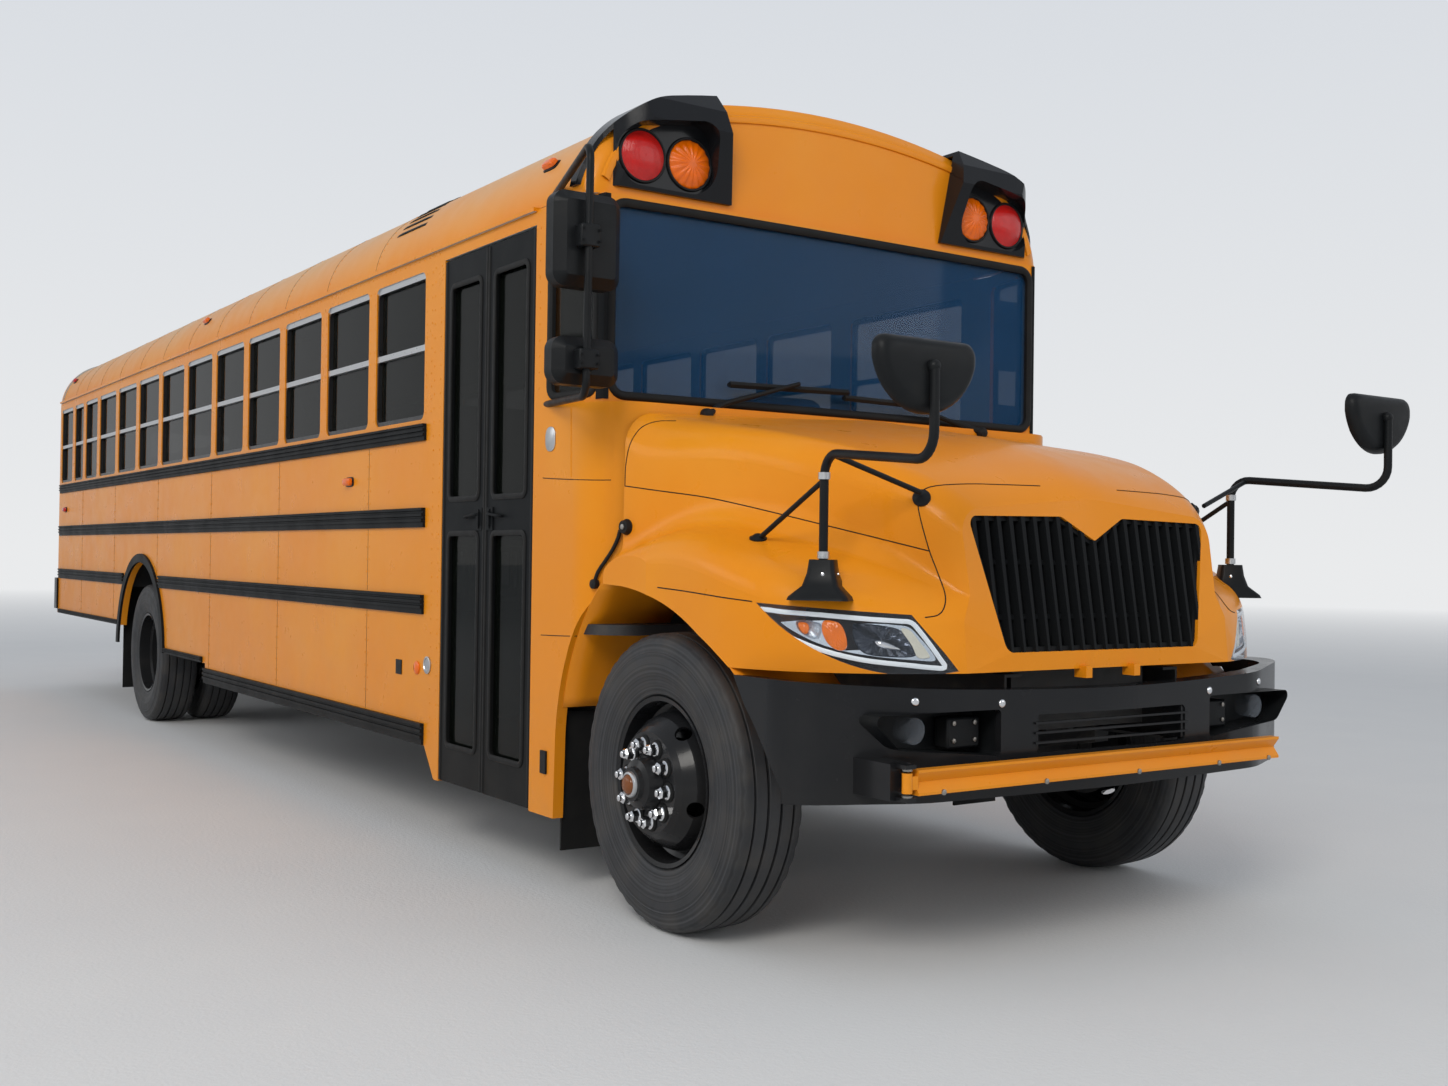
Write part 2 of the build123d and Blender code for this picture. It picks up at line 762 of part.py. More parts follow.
def steering_wheel():
    rim = Torus(222, 14)
    hub = Pos(0, 0, -18) * Cylinder(48, 30)
    wheel = rim + hub
    for angle in (90, 210, 330):
        wheel += Rot(0, 0, angle) * Pos(118, 0, -8) * Box(212, 30, 12)
    return Pos(*WHEEL_CENTRE) * Rot(-COLUMN_TILT, 0, 0) * wheel


# Wheels


def about_axle(profile):
    """Turn an outline of (distance out, radius) about the axle."""
    return revolve(Plane.XZ * profile, Axis.X)


def tyre():
    """Section of a truck tyre, with a flat tread and bulged sides."""
    w = TYRE_HALF_WIDTH
    return about_axle(make_face([
        Line((-100, BEAD_R), (100, BEAD_R)),
        ThreePointArc((100, BEAD_R), (w, 400), (w - 16, 492)),
        ThreePointArc((w - 16, 492), (w - 26, 512), (w - 48, 519)),
        ThreePointArc((w - 48, 519), (0, TYRE_R), (48 - w, 519)),
        ThreePointArc((48 - w, 519), (26 - w, 512), (16 - w, 492)),
        ThreePointArc((16 - w, 492), (-w, 400), (-100, BEAD_R)),
    ]))


def rim(side):
    """Wheel rim with a drop centre and a coned disc, its hub face on the given side."""
    barrel = about_axle(outline(
        (-118, FLANGE_R), (-106, FLANGE_R), (-100, 289.7), (-60, 285), (-48, 262), (22, 262), (34, 285),
        (100, 289.7), (106, FLANGE_R), (118, FLANGE_R), (114, 282), (38, 274), (26, 250), (-52, 250),
        (-64, 274), (-114, 282),
    ))
    s = side
    disc = about_axle(outline(
        (24 * s, 255), (64 * s, 244), (112 * s, 226), (150 * s, 196), (DISC_OFFSET * s, 178),
        (DISC_OFFSET * s, 60), (154 * s, 60), (154 * s, 172), (138 * s, 186), (104 * s, 214),
        (58 * s, 232), (10 * s, 250), (10 * s, 255),
    ))
    for i in range(5):
        angle = 72 * i + 36
        hole = Rot(angle, 0, 0) * Pos(108 * s, 0, 222) * Rot(0, 40 * s, 0) * Cylinder(30, 90)
        disc -= hole
    return barrel + disc


SPINDLE_R = 40


def front_wheel():
    """Rim with hub and drum, centred on the axle, hub outward."""
    wheel = rim(1)
    hub = about_axle(outline(
        (-80, 0), (-80, 206), (20, 206), (40, 150), (154, 150), (154, 100), (DISC_OFFSET, 100),
        (192, 92), (214, 84), (222, 62), (238, 58), (242, 0),
    ))
    bore = rod((-90, 0, 0), (-15, 0, 0), SPINDLE_R + 0.05)
    return wheel + hub - bore


def rear_wheel():
    """Two rims back to back with the drum between them, from the mounting face."""
    outer = Pos(DISC_OFFSET, 0, 0) * rim(-1)
    inner = Pos(-DISC_OFFSET, 0, 0) * rim(1)
    hub = about_axle(outline(
        (-180, 0), (-180, 200), (-40, 200), (-30, 150), (14, 150), (14, 108), (52, 100), (66, 64), (74, 0),
    ))
    bore = rod((-190, 0, 0), (-110, 0, 0), SPINDLE_R + 5.05)
    return outer + inner + hub - bore


def front_axle():
    """I-beam with eyes for the kingpins, and the two leaf springs on it."""
    half = [(0, 420), (420, 420), (700, 470), (KINGPIN_X, 482), (KINGPIN_X, 562), (700, 556), (420, 520), (0, 520)]
    beam = front_prism(outline(*half), -45, 45)
    beam += flip(beam)
    beam -= rod((KINGPIN_X, 0, 400), (KINGPIN_X, 0, 700), 60)
    beam -= rod((-KINGPIN_X, 0, 400), (-KINGPIN_X, 0, 700), 60)
    spring = side_prism(leaf_face(0, 620, 572, 640), 356, 430)
    seat = box(350, 436, -70, 70, 500, 580)
    for sign in (-1, 1):
        eye = rod((sign * KINGPIN_X, 0, 480), (sign * KINGPIN_X, 0, 564), 38)
        beam += eye + box(*sorted((sign * 820, sign * 880)), -45, 45, 482, 562)
        beam -= rod((sign * KINGPIN_X, 0, 400), (sign * KINGPIN_X, 0, 700), 20.05)
    for piece in pair(spring + seat):
        beam += piece
    return beam


def leaf_face(y, reach, middle, end):
    """Side view of a leaf spring pack, thicker in its middle."""
    return make_face([
        ThreePointArc((y - reach, end + 46), (y, middle + 60), (y + reach, end + 46)),
        Line((y + reach, end + 46), (y + reach, end)),
        ThreePointArc((y + reach, end), (y, middle), (y - reach, end)),
        Line((y - reach, end), (y - reach, end + 46)),
    ])


def knuckle():
    """Fork round the beam's eye, with the kingpin, the spindle and a steering arm."""
    x = KINGPIN_X
    fork = rod((x, 0, 416), (x, 0, 474), 44) + rod((x, 0, 570), (x, 0, 628), 44)
    fork += box(944, 962, -70, 70, 416, 628)
    fork += box(x, 950, -40, 40, 416, 474) + box(x, 950, -40, 40, 570, 628)
    fork += rod((x, 0, 430), (x, 0, 610), 20)
    fork += rod((962, 0, HUB_Z), (1030, 0, HUB_Z), SPINDLE_R)
    arm = outline((x - 30, 20), (x + 30, 20), (x - 10, 190), (x - 50, 190))
    fork += plan_prism(arm, 430, 460)
    return fork


def rear_axle():
    """Axle tube with the differential housing, and its two leaf springs."""
    y = WHEELBASE
    tube_half = rod((-680, y, HUB_Z), (680, y, HUB_Z), 72)
    axle = tube_half + Pos(0, y, HUB_Z) * Sphere(190)
    axle += rod((0, y - 270, HUB_Z), (0, y, HUB_Z), 90)
    spring = side_prism(leaf_face(y, 700, 640, 720), 456, 540)
    seat = box(456, 540, y - 80, y + 80, 560, 660)
    hangers = box(440, 540, y - 740, y - 690, 700, 900) + box(440, 540, y + 690, y + 740, 700, 900)
    for piece in pair(spring + seat + hangers):
        axle += piece
    spindle = rod((680, y, HUB_Z), (750, y, HUB_Z), SPINDLE_R + 5)
    for piece in pair(spindle):
        axle += piece
    return axle


# Frame and driveline


TOW_EYE = (10730, 610)
TOW_EYE_R = 20


def frame_rails():
    """Two channels with cross members, and the horns that carry the bumper."""
    front, rear = -930, BODY_REAR - WALL
    rail = box(RAIL_OUT - 76, RAIL_OUT, front, rear, RAIL_UNDER, RAIL_TOP)
    rail -= box(RAIL_OUT - 90, RAIL_OUT - 10, front - 5, rear + 5, RAIL_UNDER + 10, RAIL_TOP - 10)
    frame = rail + flip(rail)
    for y in (-740, 1300, 3200, 5100, 6600, 8250, 9750, 10700):
        frame += box(-RAIL_OUT + 10, RAIL_OUT - 10, y - 30, y + 30, 730, 900)
    for y in (8700, 9300):
        frame += box(-RAIL_OUT + 10, RAIL_OUT - 10, y - 25, y + 25, 880, 900)
    y, z = TOW_EYE
    eye = box(382, 406, y - 110, y + 50, z - 50, RAIL_UNDER + 10)
    eye -= rod((370, y, z), (420, y, z), TOW_EYE_R)
    for piece in pair(eye):
        frame += piece
    return frame


def engine():
    """Plain engine block with its gearbox, and the radiator ahead of it."""
    block = box(-320, 320, -620, 280, 720, 1480) + box(-190, 190, 280, 1060, 600, 900)
    core = box(-330, 330, -880, -800, 740, 1500)
    return group([block, core])


def drive_shaft():
    return rod((0, 1066, 640), (0, WHEELBASE - 276, HUB_Z + 10), 50)


def fuel_tank():
    tank = front_prism(window_outline(-320, 320, 470, 880, 80), 8500, 9500)
    return tank


def exhaust():
    """Muffler and pipe outside the left rail, ending under the skirt."""
    pipe = tube([(560, 700, 720), (620, 1500, 640), (620, 5900, 600), (1150, 6150, 500)], [200, 200], 48)
    body = pipe + rod((620, 3600, 640), (620, 4800, 620), 130)
    for y in (3800, 4600):
        body += box(RAIL_OUT, 620, y - 15, y + 15, 700, 718)
    return body


def front_bumper():
    """Deep wrapped bumper with a centre grille and a recess on each side."""
    outer = bumper_plan(0)
    inner = bumper_plan(26)
    shell = plan_prism(outer, 560, 905) - plan_prism(inner, 550, 880) - plan_prism(bumper_plan(80), 870, 910)
    arch = side_prism(front_arch_face(), 1000, 1300)
    shell -= arch
    shell -= flip(arch)
    centre = front_prism(window_outline(-372, 372, 690, 815, 20), -1200, -900)
    shell -= centre
    recess = front_prism(outline((520, 690), (520, 838), (1040, 838), (930, 730), radius=[15, 15, 20, 60]), -1200, -880)
    shell -= recess
    shell -= flip(recess)
    for z in (720, 752, 784):
        shell += box(-380, 380, -1022, -1004, z, z + 7)
    horn = box(RAIL_OUT - 76, RAIL_OUT, -1010, -930, 700, 930 - 40)
    for piece in pair(horn):
        shell += piece
    x = ARM_PIVOT[0]
    shell += box(x - 40, x + 40, -1060, -880, 595, 705)
    for z in (595, 693):
        shell += box(x - 20, x + 20, -1108, -1050, z, z + 12)
    return shell


def bumper_plan(inset):
    side = 1222 - inset
    front = -1040 + inset
    corner = -985 + inset
    points = [
        (-side, -430), (-side, -800), (-820, corner), (0, front), (820, corner), (side, -800), (side, -430),
    ]
    radii = [0.1, 170, 400, 2500, 400, 170, 0.1]
    return outline(*points, radius=radii)


ARM_PIVOT = (-990, -1090)


def crossing_arm():
    """A long folded bar with a ridge along it, hinged at its door-side end."""
    profile = outline((-1108, 612), (-1108, 620), (-1086, 650), (-1108, 680), (-1108, 688), (-1072, 688), (-1072, 612))
    bar = side_prism(profile, -960, 780)
    eye = rod((ARM_PIVOT[0], ARM_PIVOT[1], 620), (ARM_PIVOT[0], ARM_PIVOT[1], 680), 16)
    return bar + eye + box(ARM_PIVOT[0], -955, -1100, -1080, 630, 670)


def rear_bumper():
    """Channel bumper that wraps round the rear corners."""
    outer = outline((-1237, 10740), (-1237, BUMPER_REAR), (1237, BUMPER_REAR), (1237, 10740), radius=[0.1, 90, 90, 0.1])
    inner = outline((-1223, 10730), (-1223, BODY_REAR), (1223, BODY_REAR), (1223, 10730))
    bar = plan_prism(outer, 740, 1030)
    bar -= plan_prism(inner, 730, 1040)
    return bar


def lamps_by_rows(rows):
    return group([piece for x, y, z, radius, depth, facing in rows for piece in pair(lens(x, y, z, radius, depth, facing))])


# Columns: X, Y, Z, radius, depth, facing (-1 ahead, 1 to the rear)
RED_LAMPS = [
    (LAMP_XS[1], CAP_FRONT - 12, LAMP_Z, LAMP_R, 34, -1),
    (980, BODY_REAR, 2760, LAMP_R, 34, 1),
    (820, BODY_REAR, 1350, 89, 26, 1),
    (90, BODY_REAR, 2960, 20, 20, 1),
    (300, BODY_REAR, 2950, 20, 20, 1),
]
AMBER_LAMPS = [
    (LAMP_XS[0], CAP_FRONT - 12, LAMP_Z, LAMP_R, 34, -1),
    (765, BODY_REAR, 2760, LAMP_R, 34, 1),
    (1020, BODY_REAR, 1350, 89, 26, 1),
]


def side_mirror(door_side):
    """Two mirror heads on a bent tube that stands off the body."""
    sign = -1 if door_side else 1
    shift = 0 if door_side else 640
    foot = 860 if door_side else 945
    y = 160 + shift
    points = [
        (sign * 1170, foot, 2738), (sign * 1392, y, 2762), (sign * 1392, y + 10, 1872), (sign * 1195, foot, 1908),
    ]
    arm = tube(points, [60, 60], 14)
    heads = []
    for low, high in ((2262, 2602), (1915, 2085)):
        head = front_prism(window_outline(-135, 135, low, high, 48), y + 32, y + 122)
        front = head.faces().sort_by(Axis.Y)[0].edges()
        head = chamfer(front, 36)
        heads.append(Pos(sign * 1365, 0, 0) * head)
    clamps = box(sign * 1392 - 20, sign * 1392 + 20, y - 2, y + 34, 2400, 2470)
    clamps_low = box(sign * 1392 - 20, sign * 1392 + 20, y - 2, y + 34, 1970, 2030)
    body = arm + clamps + clamps_low
    for head in heads:
        body += head
    body -= front_prism(arch_face(ROOF_INSET, EAVES), 700, 1300)
    return body - box(-HALF_WIDTH, HALF_WIDTH, 700, 1300, 1700, EAVES)


def stop_arm():
    """Eight-sided sign folded against the driver's side, with its hinge sleeve."""
    y, low, high = STOP_HINGE
    sign_face = Pos(y + 240, (low + high) / 2) * RegularPolygon(225, 8, major_radius=False, rotation=22.5)
    sign_plate = side_prism(sign_face, 1262, 1274)
    return sign_plate + rod((1268, y, low), (1268, y, high), 12) + box(1262, 1274, y, y + 40, low + 5, high - 5)


def mud_flaps():
    flaps = []
    for y, low, high, inner in ((712, 160, 700, 905), (8215, 190, FLOOR_UNDER, 570)):
        flaps += pair(box(inner, INNER, y, y + 10, low, high))
    return group(flaps)


NODES = {}


def add(name, shape):
    NODES[name] = shape


def build():
    outer = hood_outer()
    inner = hood_inner()
    add("frame_rails", frame_rails())
    add("front_axle", front_axle())
    add("rear_axle", rear_axle())
    add("drive_shaft", drive_shaft())
    add("engine", engine())
    add("fuel_tank", fuel_tank())
    add("exhaust", exhaust())
    add("floor", floor())
    add("stepwell", stepwell())
    add("side_wall_right", side_wall(True))
    add("side_wall_left", side_wall(False))
    add("door_header", door_header())
    add("roof", roof())
    add("front_cap", front_cap())
    add("lamp_hoods", group(pair(lamp_hood())))
    add("cowl", cowl())
    add("rear_wall", rear_wall())
    add("windshield", windshield())
    add("side_glass", side_glass())
    add("window_frames", window_frames())
    add("rub_rails", rub_rails())
    add("front_bumper", front_bumper())
    add("rear_bumper", rear_bumper())
    add("red_lamps", lamps_by_rows(RED_LAMPS))
    add("amber_lamps", lamps_by_rows(AMBER_LAMPS))
    add("side_mirrors", group([side_mirror(True), side_mirror(False)]))
    add("dashboard", dashboard())
    add("driver_seat", driver_seat())
    add("seats", seats())
    add("seat_frames", seat_frames())
    add("mud_flaps", mud_flaps())
    add("steering_wheel", steering_wheel())
    add("hood", hood(outer, inner))
    add("grille", grille())
    add("headlamps", group(pair(headlamp(outer))))
    add("cross_view_mirrors", group(pair(cross_view_mirror(outer))))
    for name, y in (("front", DOOR_FRONT + LEAF_GAP), ("rear", DOOR_FRONT + 2 * LEAF_GAP + LEAF_WIDTH)):
        add("door_leaf_" + name, door_leaf(y))
        add("door_glass_" + name, door_glass(y))
    add("rear_door", rear_door())
    add("rear_door_glass", rear_door_glass())
    add("crossing_arm", crossing_arm())
    add("stop_arm", stop_arm())
    for name, y in zip(("front", "rear"), HATCHES):
        add("roof_hatch_" + name, roof_hatch(y))
    left_knuckle = knuckle()
    add("knuckle_left", left_knuckle)
    add("knuckle_right", flip(left_knuckle))
    front_rubber = Pos(FRONT_TRACK_HALF, 0, HUB_Z) * tyre()
    front_rim = Pos(FRONT_TRACK_HALF, 0, HUB_Z) * front_wheel()
    rear_rim = Pos(REAR_MOUNT, WHEELBASE, HUB_Z) * rear_wheel()
    rear_rubber = group([
        Pos(REAR_MOUNT + side * DISC_OFFSET, WHEELBASE, HUB_Z) * tyre() for side in (-1, 1)
    ])
    for name, shape in (
        ("front_tyre", front_rubber), ("front_rim", front_rim),
        ("rear_tyres", rear_rubber), ("rear_rims", rear_rim),
    ):
        add(name + "_left", shape)
        add(name + "_right", flip(shape))


build()
for name, shape in NODES.items():
    export_step(Pos(0, SHIFT_Y, 0) * shape, "parts/" + name + ".step")
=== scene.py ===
"""Looks of a long school bus with its engine ahead of the windshield. Metres."""

import math
import random

import bmesh
import bpy
from mathutils import Matrix, Vector
from mathutils.bvhtree import BVHTree


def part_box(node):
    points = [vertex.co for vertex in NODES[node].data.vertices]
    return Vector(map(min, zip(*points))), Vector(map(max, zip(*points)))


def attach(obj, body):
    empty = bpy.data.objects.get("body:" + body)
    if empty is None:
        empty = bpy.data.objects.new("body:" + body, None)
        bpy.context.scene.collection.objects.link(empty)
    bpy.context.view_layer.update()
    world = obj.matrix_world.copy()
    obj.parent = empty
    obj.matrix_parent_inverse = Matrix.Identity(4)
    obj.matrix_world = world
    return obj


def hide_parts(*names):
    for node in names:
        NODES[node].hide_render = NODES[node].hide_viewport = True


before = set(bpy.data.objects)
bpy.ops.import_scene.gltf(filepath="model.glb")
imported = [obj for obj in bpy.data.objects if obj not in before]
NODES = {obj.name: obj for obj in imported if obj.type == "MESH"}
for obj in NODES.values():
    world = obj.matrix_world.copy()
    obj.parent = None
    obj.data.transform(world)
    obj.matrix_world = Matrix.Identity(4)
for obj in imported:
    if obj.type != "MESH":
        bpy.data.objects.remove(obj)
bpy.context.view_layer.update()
random.seed(7)

# The front axle's place along Y, which every length along the bus is counted from
AXLE_Y = -4.797
REAR_AXLE = 7.45
WHEEL_R = 0.5225
# The side walls' outer face along X, and the rear wall's along Y
SIDE_X = 1.219
REAR_FACE = 10.850


def at(x, y, z):
    """A point whose Y is counted from the front axle."""
    return Vector((x, y + AXLE_Y, z))


# Materials


class Graph:
    """A material's nodes, with short calls to add and join them."""

    def __init__(self, name):
        self.material = bpy.data.materials.new(name)
        self.material.use_nodes = True
        self.tree = self.material.node_tree
        self.shader = self.tree.nodes["Principled BSDF"]
        self.where = None

    def node(self, kind, **settings):
        made = self.tree.nodes.new("ShaderNode" + kind)
        for key, value in settings.items():
            setattr(made, key, value)
        return made

    def join(self, start, end):
        self.tree.links.new(start, end)

    def place(self):
        if self.where is None:
            self.where = self.node("TexCoord").outputs["Object"]
        return self.where

    def feed(self, socket, value):
        """Set a socket to a number or a colour, or join it to another node's output."""
        if isinstance(value, (int, float)):
            socket.default_value = value
        elif isinstance(value, tuple):
            socket.default_value = (*value, 1.0)[:len(socket.default_value)]
        else:
            self.join(value, socket)

    def noise(self, scale, detail, stretch=None):
        made = self.node("TexNoise")
        for key, value in (("Scale", scale), ("Detail", detail), ("Roughness", 0.55)):
            made.inputs[key].default_value = value
        source = self.place()
        if stretch:
            mapping = self.node("Mapping")
            mapping.inputs["Scale"].default_value = stretch
            self.join(source, mapping.inputs["Vector"])
            source = mapping.outputs["Vector"]
        self.join(source, made.inputs["Vector"])
        return made.outputs["Fac"]

    def axis(self, letter):
        split = self.node("SeparateXYZ")
        self.join(self.place(), split.inputs[0])
        return split.outputs[letter]

    def ranged(self, value, low, high, to_low=0.0, to_high=1.0):
        made = self.node("MapRange")
        for key, end in (("From Min", low), ("From Max", high), ("To Min", to_low), ("To Max", to_high)):
            made.inputs[key].default_value = end
        self.join(value, made.inputs["Value"])
        return made.outputs["Result"]

    def math(self, operation, first, second=None):
        made = self.node("Math", operation=operation)
        self.feed(made.inputs[0], first)
        if second is not None:
            self.feed(made.inputs[1], second)
        return made.outputs[0]

    def vector(self, operation, first, second=None):
        made = self.node("VectorMath", operation=operation)
        self.feed(made.inputs[0], first)
        if second is not None:
            self.feed(made.inputs[1], second)
        return made.outputs["Value" if operation in ("DOT_PRODUCT", "LENGTH") else "Vector"]

    def mix(self, amount, first, second):
        made = self.node("Mix", data_type="RGBA")
        for index, value in ((0, amount), (6, first), (7, second)):
            self.feed(made.inputs[index], value)
        return made.outputs[2]

    def colour(self, value):
        self.feed(self.shader.inputs["Base Color"], value)

    def rough(self, value):
        self.feed(self.shader.inputs["Roughness"], value)

    def bump(self, height, distance, after=None):
        made = self.node("Bump")
        made.inputs["Distance"].default_value = distance
        self.join(height, made.inputs["Height"])
        if after is not None:
            self.join(after, made.inputs["Normal"])
        self.join(made.outputs["Normal"], self.shader.inputs["Normal"])
        return made.outputs["Normal"]

    def set(self, **values):
        for key, value in values.items():
            self.shader.inputs[key.replace("_", " ")].default_value = value


DUST = (0.23, 0.19, 0.14)
CABIN = (0.42, 0.45, 0.46)


def paint(
    name, base, faded, wave=0.0006, inside=False, gloss=0.26, dust=0.14, coat=0.10, shine=0.18, chalk_and_sheen=None,
):
    """Painted sheet metal: slight fading, road dust low down, soft waves in its reflections, and where asked
    paler areas on the roof's top that are partly powdery, faded paint and partly painted sheen.
    """
    g = Graph(name)
    colour = g.mix(g.ranged(g.noise(0.9, 5), 0.42, 0.68), base, faded)
    streak = g.ranged(g.noise(3.0, 6, stretch=(1.0, 1.0, 0.12)), 0.52, 0.8, 0.0, 0.08)
    colour = g.mix(streak, colour, tuple(c * 0.85 for c in base))
    low = g.ranged(g.axis("Z"), 1.15, 0.35)
    soiled = g.math("MULTIPLY", low, g.ranged(g.noise(5.0, 7), 0.4, 0.75, 0.02, dust))
    colour = g.mix(soiled, colour, DUST)
    # Paler areas high on the roof: partly powdery, faded paint, partly painted sheen where the top catches
    # the sky
    if chalk_and_sheen:
        chalk_and_sheen_patches = g.ranged(g.noise(1.3, 6), 0.3, 0.7, 0.55, 0.95)
        high = g.math("MULTIPLY", g.ranged(g.axis("Z"), 2.70, 2.98), chalk_and_sheen_patches)
        colour = g.mix(high, colour, chalk_and_sheen)
    if inside:
        # Cabin paint on faces that look towards the middle of the bus
        away = g.vector("SUBTRACT", g.place(), (0.0, 0.0, 1.9))
        away = g.vector("MULTIPLY", away, (1.0, 0.18 if inside == "ends" else 0.0, 1.0))
        facing = g.vector("DOT_PRODUCT", away, g.node("NewGeometry").outputs["Normal"])
        colour = g.mix(g.ranged(facing, -0.28, -0.34), colour, CABIN)
    g.colour(colour)
    g.rough(g.ranged(g.noise(7.0, 5), 0.3, 0.7, gloss, gloss + 0.12))
    wavy = g.bump(g.noise(2.2, 2, stretch=(1.0, 0.6, 1.6)), wave * 6)
    g.bump(g.noise(420.0, 2), 0.00006, after=wavy)
    g.set(Coat_Weight=coat, Coat_Roughness=0.06, Coat_IOR=1.45, Specular_IOR_Level=shine)
    return g.material


def moulded(name, base, rough, grain=600.0, depth=0.00025, dusty=0.08, metallic=0.0, shine=0.35):
    """Moulded plastic, rubber or rough metal with a fine grain and some dust."""
    g = Graph(name)
    worn = tuple(min(1.0, c * 1.3 + 0.003) for c in base)
    colour = g.mix(g.ranged(g.noise(4.0, 6), 0.35, 0.75, 0.0, 0.6), base, worn)
    if dusty:
        amount = g.ranged(g.noise(9.0, 8), 0.5, 0.85, 0.0, dusty)
        colour = g.mix(amount, colour, DUST)
    g.colour(colour)
    g.rough(g.ranged(g.noise(18.0, 5), 0.3, 0.7, rough - 0.07, rough + 0.09))
    g.bump(g.noise(grain, 3), depth)
    g.set(Metallic=metallic, Specular_IOR_Level=shine)
    return g.material


def metal(name, base, rough, brushed=None):
    """Bare or plated metal, with fine scratches along one axis where it is brushed."""
    g = Graph(name)
    grain = 250.0
    g.colour(g.mix(g.noise(12.0, 5), base, tuple(c * 0.78 for c in base)))
    g.rough(g.ranged(g.noise(grain, 4, stretch=brushed), 0.3, 0.7, rough, rough + 0.12))
    g.bump(g.noise(grain, 3, stretch=brushed), 0.0001)
    g.set(Metallic=1.0)
    return g.material


def glass(name, tint, clear, edge=0.95, shine=0.5):
    """Thin tinted glass: it hides more at a glancing angle, with faint smears in its gloss."""
    g = Graph(name)
    stained = tuple(c * 1.25 + 0.002 for c in tint)
    g.colour(g.mix(g.ranged(g.noise(3.0, 5), 0.4, 0.7, 0.0, 0.5), tint, stained))
    facing = g.node("LayerWeight")
    facing.inputs["Blend"].default_value = 0.35
    g.join(g.ranged(facing.outputs["Facing"], 0.0, 1.0, clear, edge), g.shader.inputs["Alpha"])
    g.rough(g.ranged(g.noise(6.0, 6), 0.35, 0.75, 0.02, 0.06))
    g.set(IOR=1.5, Specular_IOR_Level=shine)
    g.material.surface_render_method = "BLENDED"
    return g.material


def lens_plastic(name, base, ridge=60.0, glow=0.06):
    """Coloured lamp plastic that glows a little from within, with moulded ridges."""
    g = Graph(name)
    g.colour(g.mix(g.noise(30.0, 3), base, tuple(c * 0.6 for c in base)))
    g.rough(0.12)
    wave = g.node("TexWave", wave_type="BANDS", bands_direction="X")
    wave.inputs["Scale"].default_value = ridge
    wave.inputs["Distortion"].default_value = 0.0
    g.join(g.place(), wave.inputs["Vector"])
    g.bump(wave.outputs["Fac"], 0.0006)
    g.set(Coat_Weight=0.3, Coat_Roughness=0.03, Specular_IOR_Level=0.3, Emission_Strength=glow)
    g.feed(g.shader.inputs["Emission Color"], base)
    return g.material


YELLOW = (0.76, 0.250, 0.006)
FADED = (0.78, 0.285, 0.014)
# The roof top's paler colour: partly powdery, faded paint, partly painted sheen
ROOF_CHALK_AND_SHEEN = (0.64, 0.40, 0.20)

yellow = paint("yellow_paint", YELLOW, FADED)
yellow_roof = paint("yellow_roof_paint", YELLOW, FADED, inside=True, gloss=0.36, coat=0.06, chalk_and_sheen=ROOF_CHALK_AND_SHEEN)
yellow_skin = paint("yellow_panel_paint", YELLOW, FADED, inside=True)
yellow_ends = paint("yellow_end_paint", YELLOW, FADED, inside="ends")
black_gloss = paint(
    "black_gloss_paint", (0.008, 0.009, 0.011), (0.011, 0.012, 0.014), wave=0.0004, gloss=0.16, dust=0.05,
    coat=0.12, shine=0.18,
)
black_satin = paint(
    "black_satin_paint", (0.010, 0.011, 0.012), (0.014, 0.015, 0.016), wave=0.0003, gloss=0.36, dust=0.04,
    coat=0.0, shine=0.05,
)
black_plastic = moulded("black_plastic", (0.008, 0.009, 0.010), 0.38, dusty=0.03, shine=0.14)
rubber = moulded("black_rubber", (0.012, 0.012, 0.012), 0.5, grain=300.0, dusty=0.03, shine=0.12)
chassis = moulded("chassis_paint", (0.014, 0.014, 0.015), 0.5, grain=150.0, depth=0.0004, dusty=0.25)
cast = moulded("cast_metal", (0.07, 0.07, 0.07), 0.6, grain=180.0, depth=0.0006, dusty=0.25, metallic=0.6)
steel = metal("dull_steel", (0.38, 0.36, 0.33), 0.4)
chrome = metal("chrome", (0.82, 0.83, 0.85), 0.08)
silver = metal("satin_silver", (0.62, 0.63, 0.64), 0.28, brushed=(1.0, 0.05, 1.0))
red_paint = paint("red_paint", (0.55, 0.012, 0.012), (0.6, 0.03, 0.03))
white_paint = paint("white_paint", (0.8, 0.8, 0.79), (0.7, 0.7, 0.68))
red_lens = lens_plastic("red_lens", (0.58, 0.014, 0.012))
amber_lens = lens_plastic("amber_lens", (0.85, 0.15, 0.001), glow=0.10)
windshield_glass = glass("windshield_glass", (0.006, 0.056, 0.150), 0.34, edge=0.9, shine=0.18)
dark_glass = glass("side_window_glass", (0.004, 0.005, 0.004), 0.50, edge=0.97, shine=0.12)
clear_lens = glass("clear_lamp_lens", (0.40, 0.45, 0.52), 0.04, edge=0.40)
cabin_paint = paint("cabin_paint", CABIN, (0.36, 0.39, 0.40), gloss=0.4, coat=0.0)
floor_rubber = moulded("floor_rubber", (0.03, 0.03, 0.032), 0.6, grain=90.0, depth=0.0006, dusty=0.3)
vinyl = moulded("seat_vinyl", (0.020, 0.024, 0.032), 0.45, grain=260.0, depth=0.0005, dusty=0.04)


